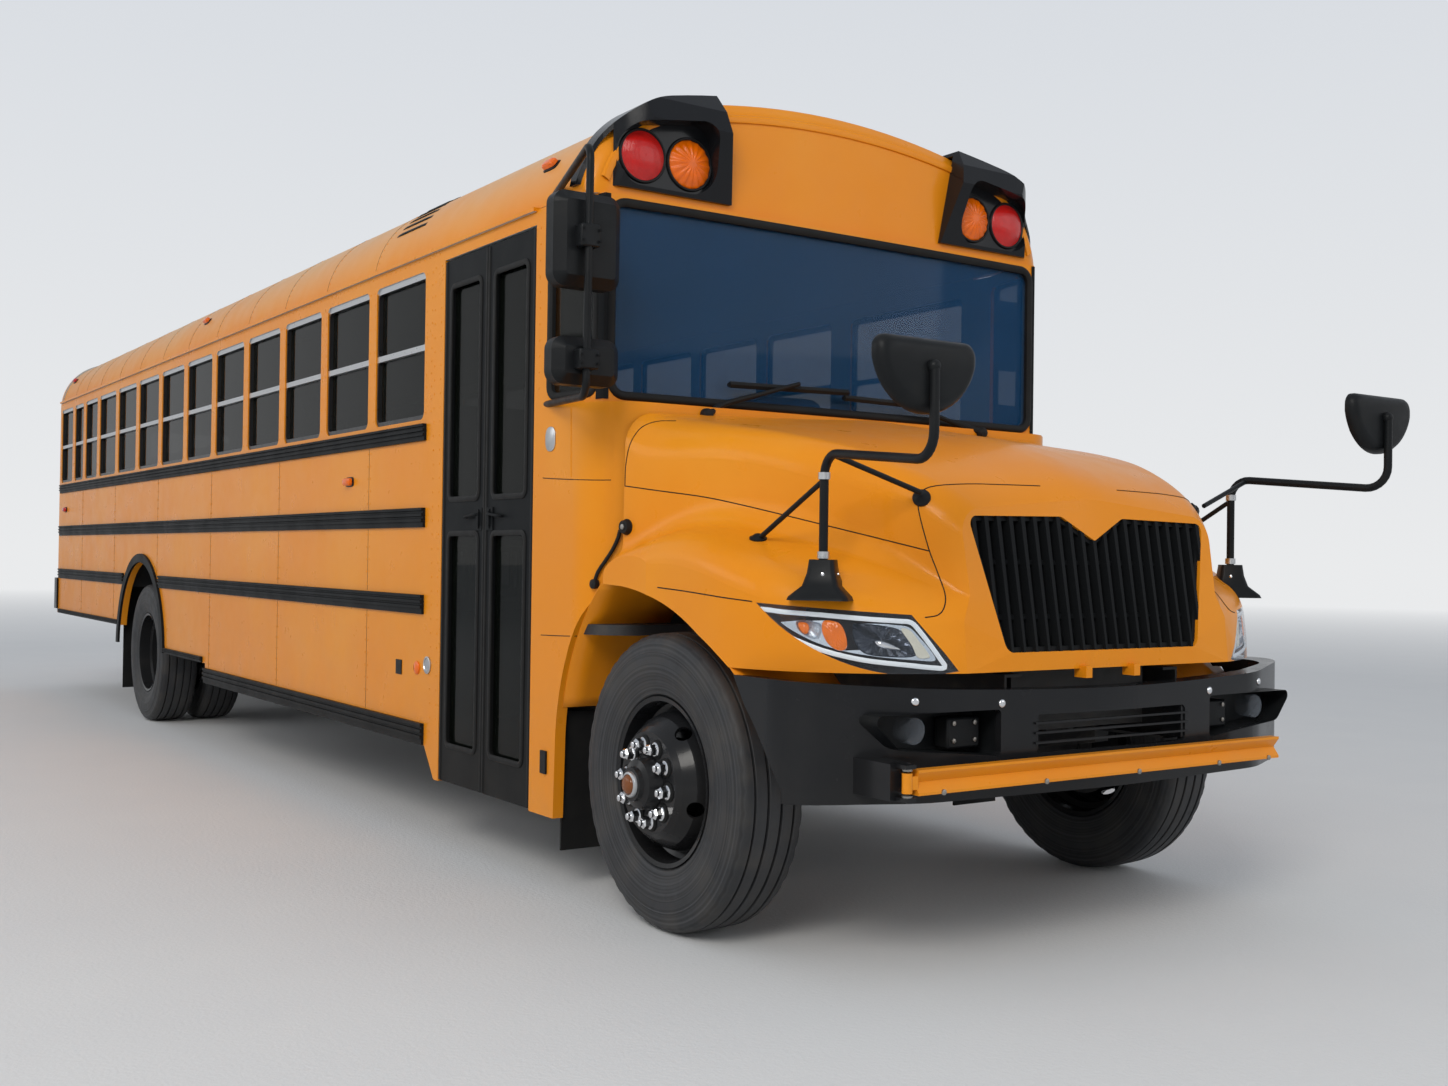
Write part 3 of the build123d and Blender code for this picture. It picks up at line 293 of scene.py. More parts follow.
def ringed_rubber():
    """Tyre rubber: faint rings round each axle where the sidewall has worn and gathered dust."""
    g = Graph("tyre_rubber")
    y = g.axis("Y")
    z = g.math("SUBTRACT", g.axis("Z"), WHEEL_R)
    radii = []
    for axle in (AXLE_Y, AXLE_Y + REAR_AXLE):
        along = g.math("SUBTRACT", y, axle)
        squares = g.math("ADD", g.math("MULTIPLY", along, along), g.math("MULTIPLY", z, z))
        radii.append(g.math("SQRT", squares))
    radius = g.math("MINIMUM", radii[0], radii[1])
    rings = g.node("TexNoise", noise_dimensions="1D")
    rings.inputs["Scale"].default_value = 110.0
    rings.inputs["Detail"].default_value = 5.0
    g.join(radius, rings.inputs["W"])
    tone = g.mix(g.ranged(rings.outputs["Fac"], 0.35, 0.7), (0.013, 0.014, 0.016), (0.038, 0.039, 0.042))
    tone = g.mix(g.ranged(g.noise(9.0, 8), 0.45, 0.85, 0.0, 0.14), tone, DUST)
    g.colour(tone)
    g.rough(g.ranged(g.noise(18.0, 5), 0.3, 0.7, 0.50, 0.66))
    g.bump(g.noise(220.0, 3), 0.0003)
    g.set(Specular_IOR_Level=0.4)
    return g.material


tyre_rubber = ringed_rubber()


def window_frame_paint():
    """Black sashes whose middle and top rails are bare aluminium."""
    g = Graph("window_frame_metal")
    z = g.axis("Z")
    middle = g.math("LESS_THAN", g.math("ABSOLUTE", g.math("SUBTRACT", z, 2.265)), 0.0145)
    top = g.math("GREATER_THAN", z, 2.585)
    bare = g.math("MAXIMUM", middle, top)
    g.colour(g.mix(bare, (0.012, 0.012, 0.013), (0.55, 0.56, 0.57)))
    g.join(g.math("MULTIPLY", bare, 0.85), g.shader.inputs["Metallic"])
    g.rough(g.ranged(g.noise(40.0, 4), 0.3, 0.7, 0.26, 0.42))
    g.bump(g.noise(300.0, 3, stretch=(1.0, 0.05, 1.0)), 0.0001)
    return g.material


# Each finish and the CAD nodes that wear it
FINISHES = (
    (chassis, "frame_rails front_axle rear_axle fuel_tank seat_frames"),
    (cast, "drive_shaft engine knuckle_left knuckle_right"),
    (steel, "exhaust"),
    (floor_rubber, "floor stepwell"),
    (yellow_skin, "side_wall_right side_wall_left door_header front_cap"),
    (yellow_roof, "roof"),
    (yellow_ends, "cowl rear_wall rear_door"),
    (yellow, "hood crossing_arm"),
    (black_gloss, "lamp_hoods front_bumper rear_bumper"),
    (black_gloss, "front_rim_left front_rim_right rear_rims_left rear_rims_right"),
    (black_satin, "rub_rails grille door_leaf_front door_leaf_rear"),
    (black_plastic, "side_mirrors dashboard steering_wheel cross_view_mirrors"),
    (rubber, "mud_flaps"),
    (tyre_rubber, "front_tyre_left front_tyre_right rear_tyres_left rear_tyres_right"),
    (windshield_glass, "windshield"),
    (dark_glass, "side_glass door_glass_front door_glass_rear rear_door_glass"),
    (window_frame_paint(), "window_frames"),
    (clear_lens, "headlamps"),
    (red_lens, "red_lamps"),
    (amber_lens, "amber_lamps"),
    (vinyl, "driver_seat seats"),
    (red_paint, "stop_arm"),
    (cabin_paint, "roof_hatch_front roof_hatch_rear"),
)
for finish, names in FINISHES:
    for name in names.split():
        data = NODES[name].data
        data.materials.clear()
        data.materials.append(finish)


# Mesh helpers


def add_object(name, data):
    """A new object of the scene with the given mesh, lamp or camera."""
    made = bpy.data.objects.new(name, data)
    bpy.context.scene.collection.objects.link(made)
    return made


def piece(name, mesh, finish, body, slot, smooth=30, bevel=0.0):
    """Turn a bmesh into an object that rides on a body."""
    bmesh.ops.recalc_face_normals(mesh, faces=mesh.faces)
    data = bpy.data.meshes.new(name)
    mesh.to_mesh(data)
    mesh.free()
    made = add_object(name, data)
    data.materials.append(finish)
    if bevel:
        rounded = made.modifiers.new("Bevel", "BEVEL")
        rounded.width = bevel
        rounded.segments = 2
        rounded.limit_method = "ANGLE"
    for face in data.polygons:
        face.use_smooth = True
    data.set_sharp_from_angle(angle=math.radians(smooth))
    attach(made, body)
    return made


def thicken(made, thickness):
    """Give a piece made of single faces a thickness."""
    made.modifiers.new("Solidify", "SOLIDIFY").thickness = thickness


def add_grid(mesh, rows, close_rows=False, close_ends=False):
    """Faces between rows of points. Each row may close on itself, and so may the rows."""
    made = [[mesh.verts.new(point) for point in row] for row in rows]
    count = len(made)
    for i in range(count if close_rows else count - 1):
        first, second = made[i], made[(i + 1) % count]
        size = len(first)
        for j in range(size if close_ends else size - 1):
            mesh.faces.new((first[j], first[(j + 1) % size], second[(j + 1) % size], second[j]))
    return made


def add_shell(mesh, rows, first=False):
    """Rings of points joined to one another, closed at the last, and at the first where asked."""
    made = add_grid(mesh, rows, close_ends=True)
    if first:
        mesh.faces.new(made[0][::-1])
    mesh.faces.new(made[-1])


def add_lathe(mesh, origin, axis, profile, segments=48, start=0.0):
    """Turn (distance along, radius) pairs about an axis."""
    axis = Vector(axis).normalized()
    side = axis.orthogonal().normalized()
    other = axis.cross(side)
    rows = []
    for i in range(segments):
        angle = start + math.tau * i / segments
        out = side * math.cos(angle) + other * math.sin(angle)
        rows.append([Vector(origin) + axis * along + out * max(radius, 1e-5) for along, radius in profile])
    return add_grid(mesh, rows, close_rows=True)


def add_box(mesh, low, high):
    """A box between two opposite corners."""
    corners = [
        Vector((x, y, z)) for x in (low[0], high[0]) for y in (low[1], high[1]) for z in (low[2], high[2])
    ]
    verts = [mesh.verts.new(c) for c in corners]
    for a, b, c, d in ((0, 1, 3, 2), (4, 6, 7, 5), (0, 4, 5, 1), (2, 3, 7, 6), (0, 2, 6, 4), (1, 5, 7, 3)):
        mesh.faces.new((verts[a], verts[b], verts[c], verts[d]))


def spline(a, b, c, d, t):
    """A point between b and c on the smooth curve through four points."""
    bent = (2 * a - 5 * b + 4 * c - d) * t * t + (3 * b - a - 3 * c + d) * t ** 3
    return 0.5 * (2 * b + (c - a) * t + bent)


def smooth_path(points, steps=6):
    """Points along a smooth curve through the given ones."""
    pts = [Vector(p) for p in points]
    pts = [pts[0] * 2 - pts[1]] + pts + [pts[-1] * 2 - pts[-2]]
    out = []
    for a, b, c, d in zip(pts, pts[1:], pts[2:], pts[3:]):
        for i in range(steps):
            t = i / steps
            out.append(spline(a, b, c, d, t))
    out.append(pts[-2])
    return out


def turned(first, second, share):
    """A direction that share of a full turn takes from first towards second."""
    return first * math.cos(math.tau * share) + second * math.sin(math.tau * share)


def add_tube(mesh, points, radius, sides=12, closed=False):
    """A round tube along points, with a radius for each point or one for all."""
    points = [Vector(p) for p in points]
    count = len(points)
    radii = radius if isinstance(radius, (list, tuple)) else [radius] * count
    rows = []
    normal = None
    for i, point in enumerate(points):
        if closed:
            way = points[(i + 1) % count] - points[i - 1]
        else:
            way = points[min(i + 1, count - 1)] - points[max(i - 1, 0)]
        way.normalize()
        if normal is None:
            normal = way.orthogonal().normalized()
        normal = (normal - way * normal.dot(way)).normalized()
        other = way.cross(normal)
        rows.append([point + turned(normal, other, k / sides) * radii[i] for k in range(sides)])
    if closed:
        add_grid(mesh, rows, close_rows=True, close_ends=True)
    else:
        add_shell(mesh, rows, first=True)


def rounded_loop(low_u, high_u, low_v, high_v, corner, steps=8):
    """Points and outward directions round a rectangle with rounded corners."""
    out = []
    centres = (
        (high_u - corner, high_v - corner, 0), (low_u + corner, high_v - corner, 90),
        (low_u + corner, low_v + corner, 180), (high_u - corner, low_v + corner, 270),
    )
    for u, v, start in centres:
        for i in range(steps + 1):
            angle = math.radians(start + 90 * i / steps)
            n = (math.cos(angle), math.sin(angle))
            out.append(((u + corner * n[0], v + corner * n[1]), n))
    return out


def add_rim(mesh, loop, section, place):
    """A strip of one section carried round a loop. place turns (u, v, height) into a point."""
    rows = []
    for (u, v), (nu, nv) in loop:
        rows.append([place(u + nu * a, v + nv * a, b) for a, b in section])
    add_grid(mesh, rows, close_rows=True, close_ends=True)


def add_rivets(mesh, spots, radius=0.0052):
    """Low domes, each at a point with its outward direction."""
    height, sides = 0.0024, 7
    for point, out in spots:
        out = Vector(out).normalized()
        side = out.orthogonal().normalized()
        other = out.cross(side)
        rings = []
        for scale, rise in ((1.0, -0.0006), (0.78, height * 0.7)):
            rings.append([
                mesh.verts.new(Vector(point) + out * rise + turned(side, other, k / sides) * radius * scale)
                for k in range(sides)
            ])
        top = mesh.verts.new(Vector(point) + out * height)
        for k in range(sides):
            n = (k + 1) % sides
            mesh.faces.new((rings[0][k], rings[0][n], rings[1][n], rings[1][k]))
            mesh.faces.new((rings[1][k], rings[1][n], top))
        mesh.faces.new(rings[0][::-1])


def bent_path(points, radii, steps=7):
    """A line through points with a round bend at each inner one."""
    points = [Vector(p) for p in points]
    out = [points[0]]
    for before, corner, after, radius in zip(points, points[1:], points[2:], radii):
        first = (before - corner).normalized()
        second = (after - corner).normalized()
        half = first.angle(second) / 2
        centre = corner + (first + second).normalized() * (radius / math.sin(half))
        start = corner + first * (radius / math.tan(half)) - centre
        end = corner + second * (radius / math.tan(half)) - centre
        whole = start.angle(end)
        for k in range(steps + 1):
            t = k / steps
            swung = start * math.sin((1 - t) * whole) + end * math.sin(t * whole)
            out.append(centre + swung / math.sin(whole))
    out.append(points[-1])
    return out


# The front end: copies of CAD nodes, with the leaning nose, the flatter windshield, the
# cap and lamps further back and the rising bumper edge that the photograph shows

SHOWN = {}
RAKE = math.radians(9.5)
GRILLE_LOW = 1.015
# How far back each place along Y goes, counted from the axle
LEAN_SHARE = [(-0.985, 1.0), (-0.350, 0.0)]
CAP_SHIFT = [
    (0.318, 0.080), (0.392, 0.090), (0.398, 0.096), (0.410, 0.090), (0.455, 0.075), (0.510, 0.035),
    (0.620, 0.0),
]
HEADER_RISE = [(2.500, 0.0), (2.645, 0.020), (2.690, 0.0)]


def interpolate(value, table):
    """Read a value off a table of pairs, whose ends hold beyond it."""
    for (a, b), (c, d) in zip(table, table[1:]):
        if value <= c:
            return b + (d - b) * max(0.0, value - a) / (c - a)
    return table[-1][1]


def leaning(p):
    """The hood and what it carries: the nose leans back above the grille's lower edge."""
    share = interpolate(p.y - AXLE_Y, LEAN_SHARE)
    share *= share * (3 - 2 * share)
    return p + Vector((0, max(0.0, p.z - GRILLE_LOW) * math.tan(RAKE) * share, 0))


def set_back(p):
    """The cap and its lamp hoods: further back, most of all at their front."""
    return p + Vector((0, interpolate(p.y - AXLE_Y, CAP_SHIFT), 0))


def flattened(p):
    """The windshield and its frame: less bowed, with a higher upper edge."""
    y = p.y - AXLE_Y
    if p.z < 1.88 or not 0.385 < y < 0.60 or abs(p.x) > 1.16:
        return p
    rise = interpolate(p.z, HEADER_RISE) if y < 0.56 and abs(p.x) < 1.14 else 0.0
    return p + Vector((0, 0.060 - 0.055 * min(1.0, abs(p.x) / 1.15) ** 2, rise))


def browed(p):
    """The bumper: its upper edge dips towards the middle."""
    if p.z < 0.85:
        return p
    crest = 0.893 + 0.050 * (p.x / 1.3) ** 2
    return Vector((p.x, p.y, 0.85 + (p.z - 0.85) * (crest - 0.85) / 0.055))


def behind_grille(p):
    """The engine: its front stays clear of the leaning grille."""
    if p.y - AXLE_Y > -0.79:
        return p
    return Vector((p.x, p.y + 0.020, min(p.z, 1.440)))


def stand_in(node, name, move, body, slot, cuts=()):
    """A copy of a CAD node with its points moved, cut across X first where its faces are long."""
    data = NODES[node].data.copy()
    made = add_object(name, data)
    if cuts:
        mesh = bmesh.new()
        mesh.from_mesh(data)
        bmesh.ops.remove_doubles(mesh, verts=mesh.verts, dist=0.00001)
        for x in cuts:
            everything = mesh.verts[:] + mesh.edges[:] + mesh.faces[:]
            bmesh.ops.bisect_plane(mesh, geom=everything, plane_co=(x, 0, 0), plane_no=(1, 0, 0))
        mesh.to_mesh(data)
        mesh.free()
        if "custom_normal" in data.attributes:
            data.attributes.remove(data.attributes["custom_normal"])
        data.set_sharp_from_angle(angle=math.radians(30))
        even = made.modifiers.new("Normals", "WEIGHTED_NORMAL")
        even.keep_sharp = True
    for vert in data.vertices:
        vert.co = move(vert.co.copy())
    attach(made, body)
    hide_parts(node)
    SHOWN[node] = made


for row in (
    ("hood", "hood_shell", leaning, "hood", "yellow_paint"),
    ("grille", "grille_slats", leaning, "hood", "black_plastic"),
    ("headlamps", "headlamp_covers", leaning, "hood", "clear_lens"),
    ("cowl", "cowl_shell", flattened, "bus_body", "yellow_paint"),
    ("windshield", "windshield_pane", flattened, "bus_body", "tinted_glass"),
    ("front_cap", "front_cap_shell", set_back, "bus_body", "yellow_paint"),
    ("lamp_hoods", "lamp_hood_shells", set_back, "bus_body", "black_paint"),
    ("engine", "engine_blocks", behind_grille, "bus_body", "cast_metal"),
    ("front_bumper", "bumper_shell", browed, "bus_body", "black_paint", [x * 0.1 for x in range(-12, 13)]),
):
    stand_in(*row)

# Camera at the photograph's viewing angle

YAW, PITCH, ROLL = 0.6005, 0.0096, 0.0135
camera_data = bpy.data.cameras.new("camera")
camera_data.lens = 36.53
camera_data.sensor_width = 36.0
camera = add_object("camera", camera_data)
EYE = at(-3.9022, -4.3674, 1.3113)
FOCAL = 1469.29
MIDDLE = (724, 543)
ahead = Vector((math.sin(YAW) * math.cos(PITCH), math.cos(YAW) * math.cos(PITCH), math.sin(PITCH)))
right = Vector((math.cos(YAW), -math.sin(YAW), 0.0))
up = right.cross(ahead)
tilted_right = right * math.cos(ROLL) + up * math.sin(ROLL)
tilted_up = up * math.cos(ROLL) - right * math.sin(ROLL)
turn = Matrix((tilted_right, tilted_up, -ahead)).transposed().to_4x4()
camera.matrix_world = Matrix.Translation(EYE) @ turn
bpy.context.scene.camera = camera

# Wheels

TYRE_PROFILE = [
    (0.100, 0.2905), (0.108, 0.300), (0.117, 0.306), (0.121, 0.320), (0.1225, 0.322), (0.1245, 0.338),
    (0.1300, 0.352), (0.1350, 0.372), (0.1392, 0.394), (0.1398, 0.402), (0.1388, 0.404), (0.1390, 0.410),
    (0.1384, 0.428), (0.1366, 0.446), (0.1376, 0.449), (0.1372, 0.453), (0.1350, 0.456), (0.1322, 0.472),
    (0.1290, 0.484), (0.1296, 0.489), (0.1270, 0.497), (0.1195, 0.508), (0.1100, 0.5145), (0.1010, 0.5175),
]
# Which of these points are cut in between the shoulder's blocks
SHOULDER = (20, 21, 22)
# Columns: distance from the middle, half width
GROOVES = [(0.0785, 0.0045), (0.0265, 0.0055)]
FRONT_TYRE_X = 1.050
REAR_TYRES_X = 0.877
TWIN_OFFSET = 0.168


def tread():
    """Half of the tread's profile, from the shoulder to the middle, with its grooves."""
    points = []
    for centre, half in GROOVES:
        crown = WHEEL_R - 0.45 * centre ** 2
        steps = ((half + 0.0016, 0.0003), (half, 0.002), (half * 0.6, 0.0135))
        points += [(centre + along, crown - depth) for along, depth in steps]
        points += [(centre - along, crown - depth) for along, depth in steps[::-1]]
    points.append((0.0, 0.5222))
    return points


def add_tyre(mesh, x, y):
    """A tyre whose shoulder blocks are cut in, three steps apart, and its bead inside."""
    segments = 132
    half = TYRE_PROFILE + tread()
    profile = half + [(-along, radius) for along, radius in half[::-1][1:]]
    centre = at(x, y, WHEEL_R)
    rows = add_lathe(mesh, centre, (1, 0, 0), profile, segments)
    shoulders = SHOULDER + tuple(len(profile) - 1 - j for j in SHOULDER[::-1])
    for row in rows[::3]:
        for j in shoulders:
            out = row[j].co - centre
            out.x = 0.0
            row[j].co -= out.normalized() * 0.0045
    bead = [(-0.100, 0.2905), (0.100, 0.2905)]
    add_lathe(mesh, centre, (1, 0, 0), bead, segments)
    bmesh.ops.remove_doubles(mesh, verts=mesh.verts, dist=0.00005)


def nut(mesh, base, origin, axis, turn):
    """A wheel nut on its dark seat: washer, six flats, a domed end and the stud in it."""
    add_lathe(base, origin, axis, [(-0.002, 0.034), (0.003, 0.034), (0.006, 0.029), (0.006, 0.0)], 28)
    for low, radius, shoulder, top, small, end, sides, start in (
        (0.004, 0.0255, 0.009, 0.012, 0.022, 0.012, 24, 0.0),
        (0.010, 0.0215, 0.034, 0.040, 0.0165, 0.041, 6, turn),
        (0.038, 0.0115, 0.050, 0.052, 0.008, 0.052, 14, 0.0),
    ):
        profile = [(low, 0.0), (low, radius), (shoulder, radius), (top, small), (end, 0.0)]
        add_lathe(mesh, origin, axis, profile, sides, start)


NUT_CIRCLE = 0.134


def wheel_nuts(side, x, y, body, name):
    """Ten nuts round a wheel's hub, with their seats."""
    mesh, base = bmesh.new(), bmesh.new()
    for i in range(10):
        angle = math.tau * i / 10 + 0.2
        spot = at(side * x, y + NUT_CIRCLE * math.sin(angle), WHEEL_R + NUT_CIRCLE * math.cos(angle))
        nut(mesh, base, spot, (side, 0, 0), angle * 2.3)
    piece(name, mesh, chrome, body, "black_paint", smooth=35)
    piece(name + "_seats", base, black_satin, body, "black_paint", smooth=40)


HUB_END = max(abs(corner[0]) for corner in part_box("front_rim_left")) - 0.004
oil_glass = moulded("hub_oil_glass", (0.16, 0.05, 0.012), 0.12, dusty=0.1)
for side, word in ((1, "left"), (-1, "right")):
    mesh = bmesh.new()
    add_tyre(mesh, side * FRONT_TYRE_X, 0.0)
    tyre = piece("tread_front_" + word, mesh, tyre_rubber, "wheel_front_" + word, "tyre_rubber", smooth=24)
    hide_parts("front_tyre_" + word)
    mesh = bmesh.new()
    for offset in (-TWIN_OFFSET, TWIN_OFFSET):
        add_tyre(mesh, side * REAR_TYRES_X + offset, REAR_AXLE)
    tyres = piece("tread_rear_" + word, mesh, tyre_rubber, "wheels_rear_" + word, "tyre_rubber", smooth=24)
    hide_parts("rear_tyres_" + word)
    wheel_nuts(side, 1.218, 0.0, "wheel_front_" + word, "nuts_front_" + word)
    ring, dome = bmesh.new(), bmesh.new()
    hub = at(side * HUB_END, 0.0, WHEEL_R)
    edge = [(-0.012, 0.046), (0.004, 0.046), (0.010, 0.043), (0.012, 0.036), (0.006, 0.034)]
    add_lathe(ring, hub, (side, 0, 0), edge, 40)
    bulge = [(0.004, 0.035), (0.012, 0.034), (0.020, 0.028), (0.024, 0.016), (0.025, 0.0)]
    add_lathe(dome, hub, (side, 0, 0), bulge, 40)
    piece("hub_ring_" + word, ring, silver, "wheel_front_" + word, "window_aluminium", smooth=40)
    piece("hub_oil_glass_" + word, dome, oil_glass, "wheel_front_" + word, "amber_lens", smooth=60)
    wheel_nuts(side, 0.891, REAR_AXLE, "wheels_rear_" + word, "nuts_rear_" + word)


# Windshield rubber

BOW_R = 33.07


def front_y(x):
    """The windshield frame's front surface."""
    return 0.455 + BOW_R - math.sqrt(BOW_R ** 2 - x * x)


mesh = bmesh.new()
section = [
    (-0.023, -0.014), (-0.023, 0.003), (-0.017, 0.008), (-0.004, 0.010), (0.006, 0.008), (0.010, 0.002),
    (0.010, -0.006),
]
loop = rounded_loop(-1.125, 1.125, 1.915, 2.667, 0.066)
dense = []
for (point, n), (after, m) in zip(loop, loop[1:] + loop[:1]):
    steps = max(1, int(math.dist(point, after) / 0.08))
    for i in range(steps):
        t = i / steps
        spot = tuple(a + (b - a) * t for a, b in zip(point, after))
        dense.append((spot, n if t < 0.5 else m))
add_rim(mesh, dense, section, lambda u, v, h: at(u, front_y(u) - h, v))
piece("windshield_rubber", mesh, rubber, "bus_body", "black_plastic", smooth=50)

# Points of the photograph, laid on what carries them


def sight(px, py):
    """The direction from the camera in which a point of the photograph lies."""
    aside, down = (px - MIDDLE[0]) / FOCAL, (py - MIDDLE[1]) / FOCAL
    return (ahead + tilted_right * aside - tilted_up * down).normalized()


def skin(*names):
    """The faces of CAD nodes, or of the copies shown for them, to lay pieces on."""
    verts, faces = [], []
    for name in names:
        data = (SHOWN.get(name) or NODES[name]).data
        base = len(verts)
        verts += [v.co.copy() for v in data.vertices]
        faces += [tuple(base + i for i in p.vertices) for p in data.polygons]
    return BVHTree.FromPolygons(verts, faces)


hood_skin = skin("hood")
body_skin = skin("roof", "front_cap", "rear_wall", "side_wall_right", "side_wall_left", "cowl")


def mirrored(points, flip):
    """The points themselves, or their mirror image on the other side of the bus."""
    return [Vector((-x, y, z)) if flip else Vector((x, y, z)) for x, y, z in points]


def seen_on(tree, px, py):
    """Where a surface is at a point of the photograph, and its outward direction there."""
    spot = tree.ray_cast(EYE, sight(px, py))
    return spot[0], spot[1]


def seam_points(tree, pixels):
    """A smooth line through points of the photograph, laid on a surface."""
    found = []
    for flat in smooth_path([(x, y, 0) for x, y in pixels], 5):
        spot, normal = seen_on(tree, flat.x, flat.y)
        if spot is not None:
            found.append(spot)
    return found


# Hood: black lines that paint the shade in the gaps between its moulded panels, its rubber latches and the
# mirrors' fittings

SEAMS = [
    [(625, 486), (626, 464), (630.5, 443.4), (641, 428), (657, 421.5), (676, 421)],
    [
        (625, 486), (657.6, 490.6), (704.8, 497.1), (746, 505.9), (790, 516.5), (834.6, 527.5),
        (878.8, 538.4), (929, 551),
    ],
    [
        (917, 498), (920, 517), (929, 549.6), (937.8, 573), (945, 593.8), (944.3, 607), (938, 615),
        (925, 617.5),
    ],
    [(917, 498), (922, 491), (935, 486), (967, 484), (1002, 484.7), (1040, 486)],
    [(657.6, 587.4), (687, 591.5), (722.5, 597.4), (752, 601.5)],
]


def add_both(mesh, points, radius, sides):
    """A tube along points and its mirror image."""
    for flip in (False, True):
        add_tube(mesh, mirrored(points, flip), radius, sides=sides)


# Thin black tubes along the panel gaps: painted shade where the gaps lie in shadow
mesh = bmesh.new()
for pixels in SEAMS:
    add_both(mesh, seam_points(hood_skin, pixels), 0.0021, 6)
piece("hood_panel_gap_shade", mesh, rubber, "hood", "black_plastic")

LATCH = (627, 527)
STRAP = ((620, 530), (618, 538), (613, 549), (606, 560), (598, 572), (594, 584))
mesh = bmesh.new()
steel_mesh = bmesh.new()
latch = seen_on(hood_skin, *LATCH)
join_skin = skin("hood", "cowl")
strap = [seen_on(join_skin, px, py)[0] - sight(px, py) * 0.014 for px, py in STRAP]
PUCK = [(-0.01, 0.030), (0.004, 0.030), (0.012, 0.026), (0.020, 0.024), (0.022, 0.0)]
for flip in (False, True):
    puck, out = mirrored(latch, flip)
    line = mirrored(strap, flip)
    add_lathe(mesh, puck, out, PUCK, 28)
    add_lathe(steel_mesh, puck + out * 0.021, out, [(0.0, 0.010), (0.004, 0.010), (0.006, 0.0)], 16)
    add_tube(mesh, smooth_path(line, 4), 0.0072, sides=10)
    add_lathe(mesh, line[-1], out, [(-0.012, 0.018), (0.008, 0.018), (0.012, 0.0)], 18)
piece("hood_latches", mesh, rubber, "hood", "black_plastic")
piece("hood_latch_pins", steel_mesh, steel, "hood", "cast_metal")

# The hood's mirrors: squared boots, bent tubes with their stays, and round-bottomed heads

POST = (1.020, -0.715)
HEAD_X, HEAD_Z = 1.110, 1.836
HEAD_BACK = -1.262
TUBE_Y = -1.320
# Columns: height over the fender, half width, corner radius
BOOT = [
    (0.0, 0.100, 0.020), (0.012, 0.095, 0.020), (0.045, 0.059, 0.018), (0.085, 0.046, 0.016),
    (0.128, 0.040, 0.014),
]
# Columns: depth from the rear edge, inset
HEAD_STEPS = [
    (0.0, 0.003), (0.003, 0.0), (0.016, 0.0), (0.026, 0.003), (0.036, 0.010), (0.043, 0.020), (0.046, 0.034),
]


def head_outline():
    """The head's outline round its middle: flat top, straight sides and a round bottom."""
    half, top, shoulder, bottom, corner = 0.185, 0.098, 0.035, -0.115, 0.038
    points = []
    for start in (0, 90):
        for k in range(7):
            angle = math.radians(start + 15 * k)
            middle = half - corner if start == 0 else corner - half
            points.append((middle + corner * math.cos(angle), top - corner + corner * math.sin(angle)))
    drop = shoulder - bottom
    radius = (half ** 2 + drop ** 2) / (2 * drop)
    reach = math.asin(half / radius)
    for k in range(1, 24):
        angle = -reach + 2 * reach * k / 24
        points.append((radius * math.sin(angle), bottom + radius * (1 - math.cos(angle))))
    points.insert(14, (-half, shoulder))
    points.append((half, shoulder))
    return points


mesh, bands, screws, feet = (bmesh.new() for _ in range(4))
BAND = [(-0.011, 0.0145), (-0.011, 0.0195), (0.011, 0.0195), (0.011, 0.0145)]
STAY_FOOT = [(-0.002, 0.030), (0.005, 0.030), (0.010, 0.020), (0.016, 0.013), (0.020, 0.0)]
# Ends of the two stays, from the post's foot
STAYS = (((0.0, 0.0, 1.560), (0.007, 0.344, 1.372)), ((0.014, -0.060, 1.636), (-0.308, -0.109, 1.528)))
BALL = [(0.020 * math.sin(a), 0.020 * math.cos(a)) for a in (math.radians(15 * k) for k in range(-6, 7))]
for side in (1, -1):
    post = at(side * POST[0], POST[1], 0)
    swivel = Matrix.Rotation(math.radians(-40 * side), 3, "Z")
    rows = []
    for rise, half, corner in BOOT:
        loop = rounded_loop(-half, half, -half, half, corner, 4)
        rows.append([post + swivel @ Vector((u, v, 1.180 + rise)) for (u, v), n in loop])
    add_shell(mesh, rows)
    head = at(side * HEAD_X, 0, 0)
    route = [
        (post.x, post.y, 1.300), (post.x, post.y, 1.645), (head.x, head.y + TUBE_Y, 1.590),
        (head.x, head.y + TUBE_Y, 1.850),
    ]
    add_tube(mesh, bent_path(route, [0.070, 0.075]), 0.0145, sides=16)
    for start, finish in STAYS:
        a, b = (post + Vector((side * x, y, z)) for x, y, z in (start, finish))
        add_tube(mesh, [a, b], 0.009, sides=12)
        spot, normal, _, _ = hood_skin.find_nearest(b)
        add_lathe(feet, spot, normal, STAY_FOOT, 24)
    rows = []
    for depth, inset in HEAD_STEPS:
        wide, tall = 1 - inset / 0.185, 1 - inset / 0.105
        y = HEAD_BACK - depth
        rows.append([head + Vector((u * wide, y, HEAD_Z + v * tall)) for u, v in head_outline()])
    add_shell(mesh, rows, first=True)
    for z in (1.322, 1.572):
        add_lathe(bands, post + Vector((0, 0, z)), (0, 0, 1), BAND, 28)
    add_lathe(mesh, head + Vector((0, TUBE_Y + 0.004, 1.852)), (0, 1, 0), BALL, 20)
    for turn in (40, -50):
        face = Vector((side * math.sin(math.radians(turn)), -math.cos(math.radians(turn)), 0))
        spot = post + Vector((0, 0, 1.262)) + face * 0.048
        add_lathe(screws, spot, face, [(-0.006, 0.0055), (0.002, 0.0055), (0.004, 0.0)], 12)
mirrors = piece("hood_mirror_frames", mesh, black_plastic, "hood", "black_plastic", smooth=35)
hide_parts("cross_view_mirrors")
piece("hood_mirror_stay_feet", feet, black_plastic, "hood", "black_plastic", smooth=50)
piece("mirror_clamps", bands, silver, "hood", "window_aluminium")
piece("mirror_base_screws", screws, chrome, "hood", "window_aluminium")

# Wheel housings: liners over the front wheels, and the seal between hood and cowl


